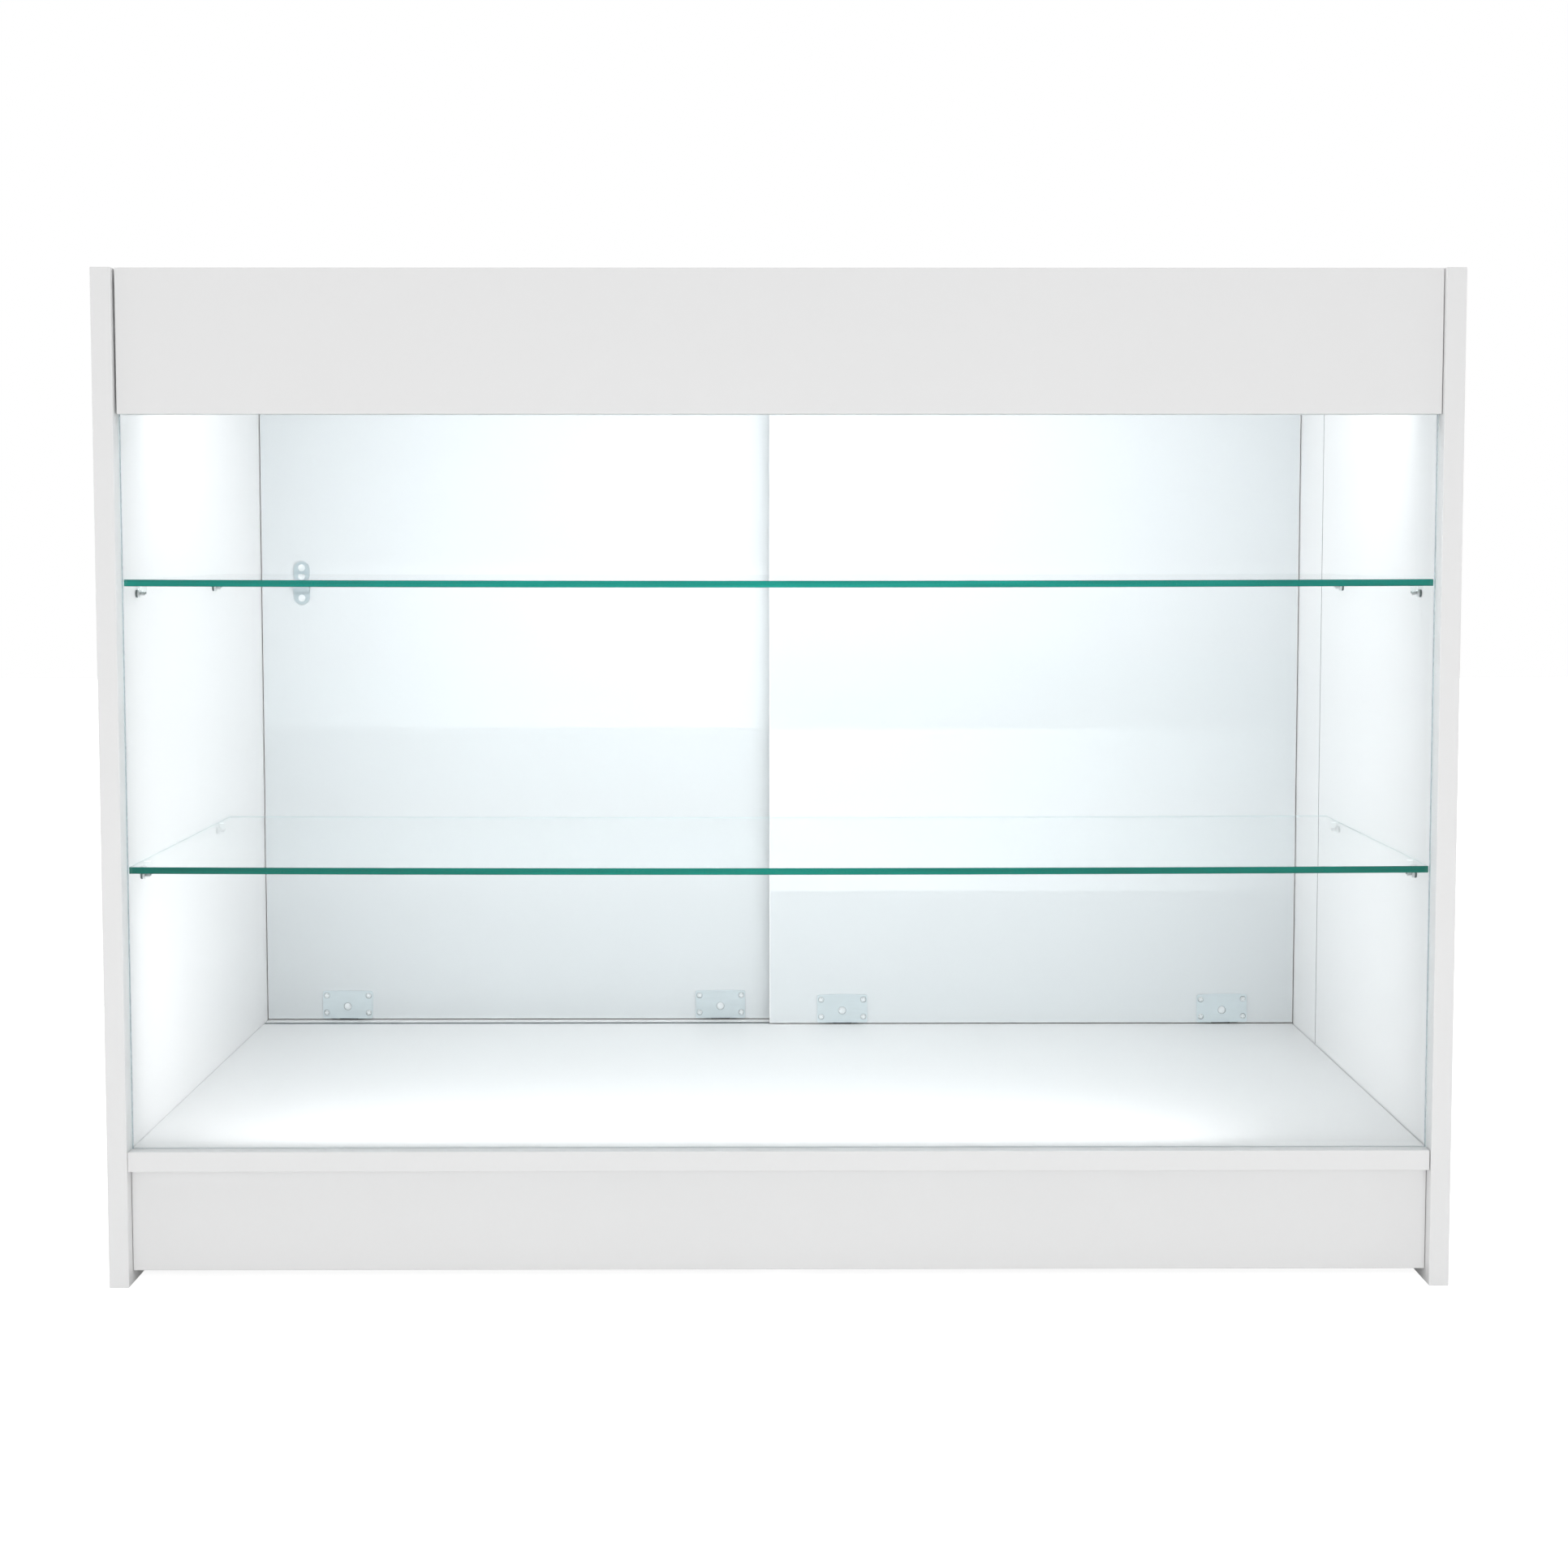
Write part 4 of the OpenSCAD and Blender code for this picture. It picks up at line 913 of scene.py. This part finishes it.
def lock_push_sleeve():
    """The bolt and the wide sleeve behind it, which is pushed in and holds the keyed plug."""
    tip, end = (corner.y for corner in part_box("lock_bolt"))
    step = LOCK_LOW.y + BOSS_WALL + BOLT_TRAVEL + SPRING_SOLID - tip
    long = end - tip
    bolt = lathe([(0, 0), (3.4 * MM, 0), (BOLT_R, 0.8 * MM), (BOLT_R, step), (SLEEVE_R, step),
                  (SLEEVE_R, long - 0.6 * MM), (5.9 * MM, long), (5.25 * MM, long),
                  (SLEEVE_BORE_R, long - 0.3 * MM), (SLEEVE_BORE_R, long - SLEEVE_DEEP),
                  (0, long - SLEEVE_DEEP)], 64)
    bolt.transform(facing((LOCK_X, tip, LOCK_Z), (0, 1, 0)))
    stand_for(to_object("lock_push_sleeve", bolt, CHROME), "lock_bolt")


def lock_key_plug():
    """The plug that the key turns, with its keyway."""
    start, end = (corner.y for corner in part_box("lock_plug"))
    long = end - start
    plug = lathe([(0, 0), (5 * MM, 0), (5 * MM, long - 0.3 * MM), (4.7 * MM, long), (0, long)], 64)
    keyway = [(-0.8, -3.2), (0.1, -3.2), (0.1, -1.2), (0.8, -1.2), (0.8, 1.0), (0.3, 1.0), (0.3, 3.2),
              (-0.8, 3.2)]
    plug = cut(plug, prism([(x * MM, y * MM) for x, y in keyway], long - 8 * MM, long + 1 * MM))
    plug.transform(facing((LOCK_X, start, LOCK_Z), (0, 1, 0)))
    stand_for(to_object("lock_key_plug", plug, BRASS, RECESS_SHADE), "lock_plug")


def lock_return_spring():
    """Coil round the bolt, kept in its CAD shape on a mesh of its own; on the lock it shortens towards the
    boss as the bolt is pushed in.
    """
    coil = cad_shape("lock_spring", clean=False)
    spring = stand_for(to_object("lock_return_spring", coil, STEEL, weighted=False), "lock_spring")
    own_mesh(spring)


for make in (lock_case, lock_fixing_screws, lock_trim_ring, lock_push_sleeve, lock_key_plug,
             lock_return_spring):
    make()

# ---------------------------------------------------------------- pulls, strike, grommet, guides


def let_into_door(name, node, profile, steps):
    """A turned metal cup let into a door, with its mouth outwards."""
    low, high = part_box(node)
    cup = lathe(profile, steps)
    cup.transform(facing(((low.x + high.x) / 2, low.y, (low.z + high.z) / 2), (0, 1, 0)))
    stand_for(to_object(name, cup, PULL), node)


def finger_pull(side):
    """A shallow round cup with a raised rim."""
    low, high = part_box("finger_pull_" + side)
    deep, r = high.y - low.y, (high.x - low.x) / 2
    let_into_door(side + "_finger_pull", "finger_pull_" + side, [
        (0, 0), (17.5 * MM, 0), (17.5 * MM, deep - 1 * MM), (r, deep - 1 * MM), (r, deep - 0.5 * MM),
        (r - 0.6 * MM, deep), (16.6 * MM, deep), (15.7 * MM, deep - 0.5 * MM), (15.5 * MM, deep - 1.4 * MM),
        (15.5 * MM, 4 * MM), (14.6 * MM, 2.2 * MM), (12.5 * MM, 1.5 * MM), (0, 1.5 * MM)], 96)


def bolt_strike_cup():
    """The cup in the inner door that takes the bolt's tip."""
    low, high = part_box("strike_cup")
    deep = high.y - low.y
    let_into_door("bolt_strike_cup", "strike_cup", [
        (0, 0), (7 * MM, 0), (7 * MM, deep), (5.6 * MM, deep), (5.2 * MM, deep - 0.4 * MM),
        (5.2 * MM, 1.6 * MM), (4.8 * MM, 1.2 * MM), (0, 1.2 * MM)], 64)


def cable_hole_grommet():
    """The ring in the side board that the supply cord would pass through."""
    low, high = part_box("cable_grommet")
    deep = high.x - low.x
    ring = lathe([(10.5 * MM, 0), (15 * MM, 0), (15 * MM, deep - 2 * MM), (19 * MM, deep - 2 * MM),
                  (19 * MM, deep - 0.8 * MM), (18.2 * MM, deep), (12 * MM, deep),
                  (10.9 * MM, deep - 0.5 * MM), (10.5 * MM, deep - 1.6 * MM)], 72, closed=True)
    ring.transform(facing((high.x, (low.y + high.y) / 2, (low.z + high.z) / 2), (-1, 0, 0)))
    stand_for(to_object("cable_hole_grommet", ring, PLASTIC), "cable_grommet")


for side in ("left", "right"):
    finger_pull(side)
bolt_strike_cup()
cable_hole_grommet()


def eased_block_piece(name, node, material, radius):
    """A small part from its CAD shape with every outer edge rounded a little."""
    shape = ease(cad_shape(node), radius, angle=60)
    return stand_for(to_object(name, shape, material), node)


eased_block_piece("left_top_guides", "top_guides_left", NYLON, 0.8 * MM)
eased_block_piece("right_top_guides", "top_guides_right", NYLON, 0.8 * MM)
eased_block_piece("channel_end_caps", "led_end_caps", PLASTIC, 0.4 * MM)
eased_block_piece("light_driver_case", "led_driver", PLASTIC, 1.2 * MM)

# ---------------------------------------------------------------- finishes of the parts kept as they are

KEPT = {
    "cam_housings": CAM_METAL, "cam_bolts": STEEL, "cam_caps": PLASTIC, "wooden_dowels": BEECH,
    "corner_brackets": ZINC, "bracket_screws": STEEL, "glass_gaskets": GASKET,
    "bottom_rail_inner": ALUMINIUM, "bottom_rail_outer": ALUMINIUM, "top_track": ALUMINIUM,
    "track_screws": STEEL, "roller_bushes_left": BRASS, "roller_bushes_right": BRASS,
    "wheel_left_a": ACETAL, "wheel_left_b": ACETAL, "wheel_right_a": ACETAL, "wheel_right_b": ACETAL,
    "led_channel": ALUMINIUM, "led_strip": light_board(), "led_diffuser": OPAL,
    "led_clips": ZINC, "driver_screws": STEEL, "led_lead": PLASTIC,
}
for node, material in KEPT.items():
    slots = nodes[node].material_slots
    if slots:
        for one in slots:
            one.material = material
    else:
        nodes[node].data.materials.append(material)

for blank in BLANKS:
    bpy.data.materials.remove(blank)

# ---------------------------------------------------------------- light from the channel

GLOW_BEHIND, GLOW_BELOW = 4 * MM, 16 * MM        # centre of the glow, from the diffuser
FILL_BEHIND, FILL_X = 3 * MM, -0.05             # fills stand this far behind the front glass

low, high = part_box("led_diffuser")
lamp("channel_glow", "AREA", (0, high.y + GLOW_BEHIND, low.z - GLOW_BELOW), (0, 0.25, 0.80), 2.25,
     (0.985, 0.985, 1.0), shape="RECTANGLE", size=0.9 * (high.x - low.x), size_y=0.05)

behind_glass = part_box("front_glass")[1].y + FILL_BEHIND
for name, height, wide, tall, watts in [
        ("shelf_fill", 0.46, 1.0, 0.6, 1.2), ("deck_fill", 0.25, 0.9, 0.2, 1.05)]:
    lamp(name, "AREA", (FILL_X, behind_glass, height), (FILL_X, 1, height), watts, (1.0, 0.99, 1.0),
         shape="RECTANGLE", size=wide, size_y=tall)

# ---------------------------------------------------------------- floor


FLOOR_HALF = 9.0                        # metres
FLOOR_LIFT = 0.86                       # what the floor adds of its own, seen straight from the camera


def pale_floor():
    """Plain pale floor that stays bright right up to the counter."""
    shape = bmesh.new()
    bmesh.ops.create_grid(shape, x_segments=8, y_segments=8, size=FLOOR_HALF)
    mesh = bpy.data.meshes.new("pale_floor")
    shape.to_mesh(mesh)
    shape.free()
    floor = bpy.data.objects.new("pale_floor", mesh)
    scene.collection.objects.link(floor)
    material = finish("pale_floor", SKIN, {
        "Color": (0.9, 0.9, 0.9, 1), "Tone": 0.01, "Cloud": 1.0, "Grain": 300.0, "Rough": 0.9,
        "Spread": 0.05},
        {"Specular IOR Level": 0.1})
    tree = material.node_tree
    path = add(tree, "ShaderNodeLightPath")
    glow = add(tree, "ShaderNodeEmission", {"Color": (1, 1, 1, 1)})
    lift = add(tree, "ShaderNodeMath", {1: FLOOR_LIFT}, operation="MULTIPLY")
    both = add(tree, "ShaderNodeAddShader")
    dim = add(tree, "ShaderNodeEmission", {"Color": (1, 1, 1, 1), "Strength": ROOM_MIRRORED})
    seen = add(tree, "ShaderNodeMixShader")
    join(tree, path, "Is Camera Ray", lift, 0)
    join(tree, lift, 0, glow, "Strength")
    join(tree, tree.nodes["Principled BSDF"], "BSDF", both, 0)
    join(tree, glow, "Emission", both, 1)
    join(tree, path, "Is Glossy Ray", seen, "Fac")
    join(tree, both, "Shader", seen, 1)
    join(tree, dim, "Emission", seen, 2)
    join(tree, seen, "Shader", tree.nodes["Material Output"], "Surface")
    mesh.materials.append(material)


pale_floor()
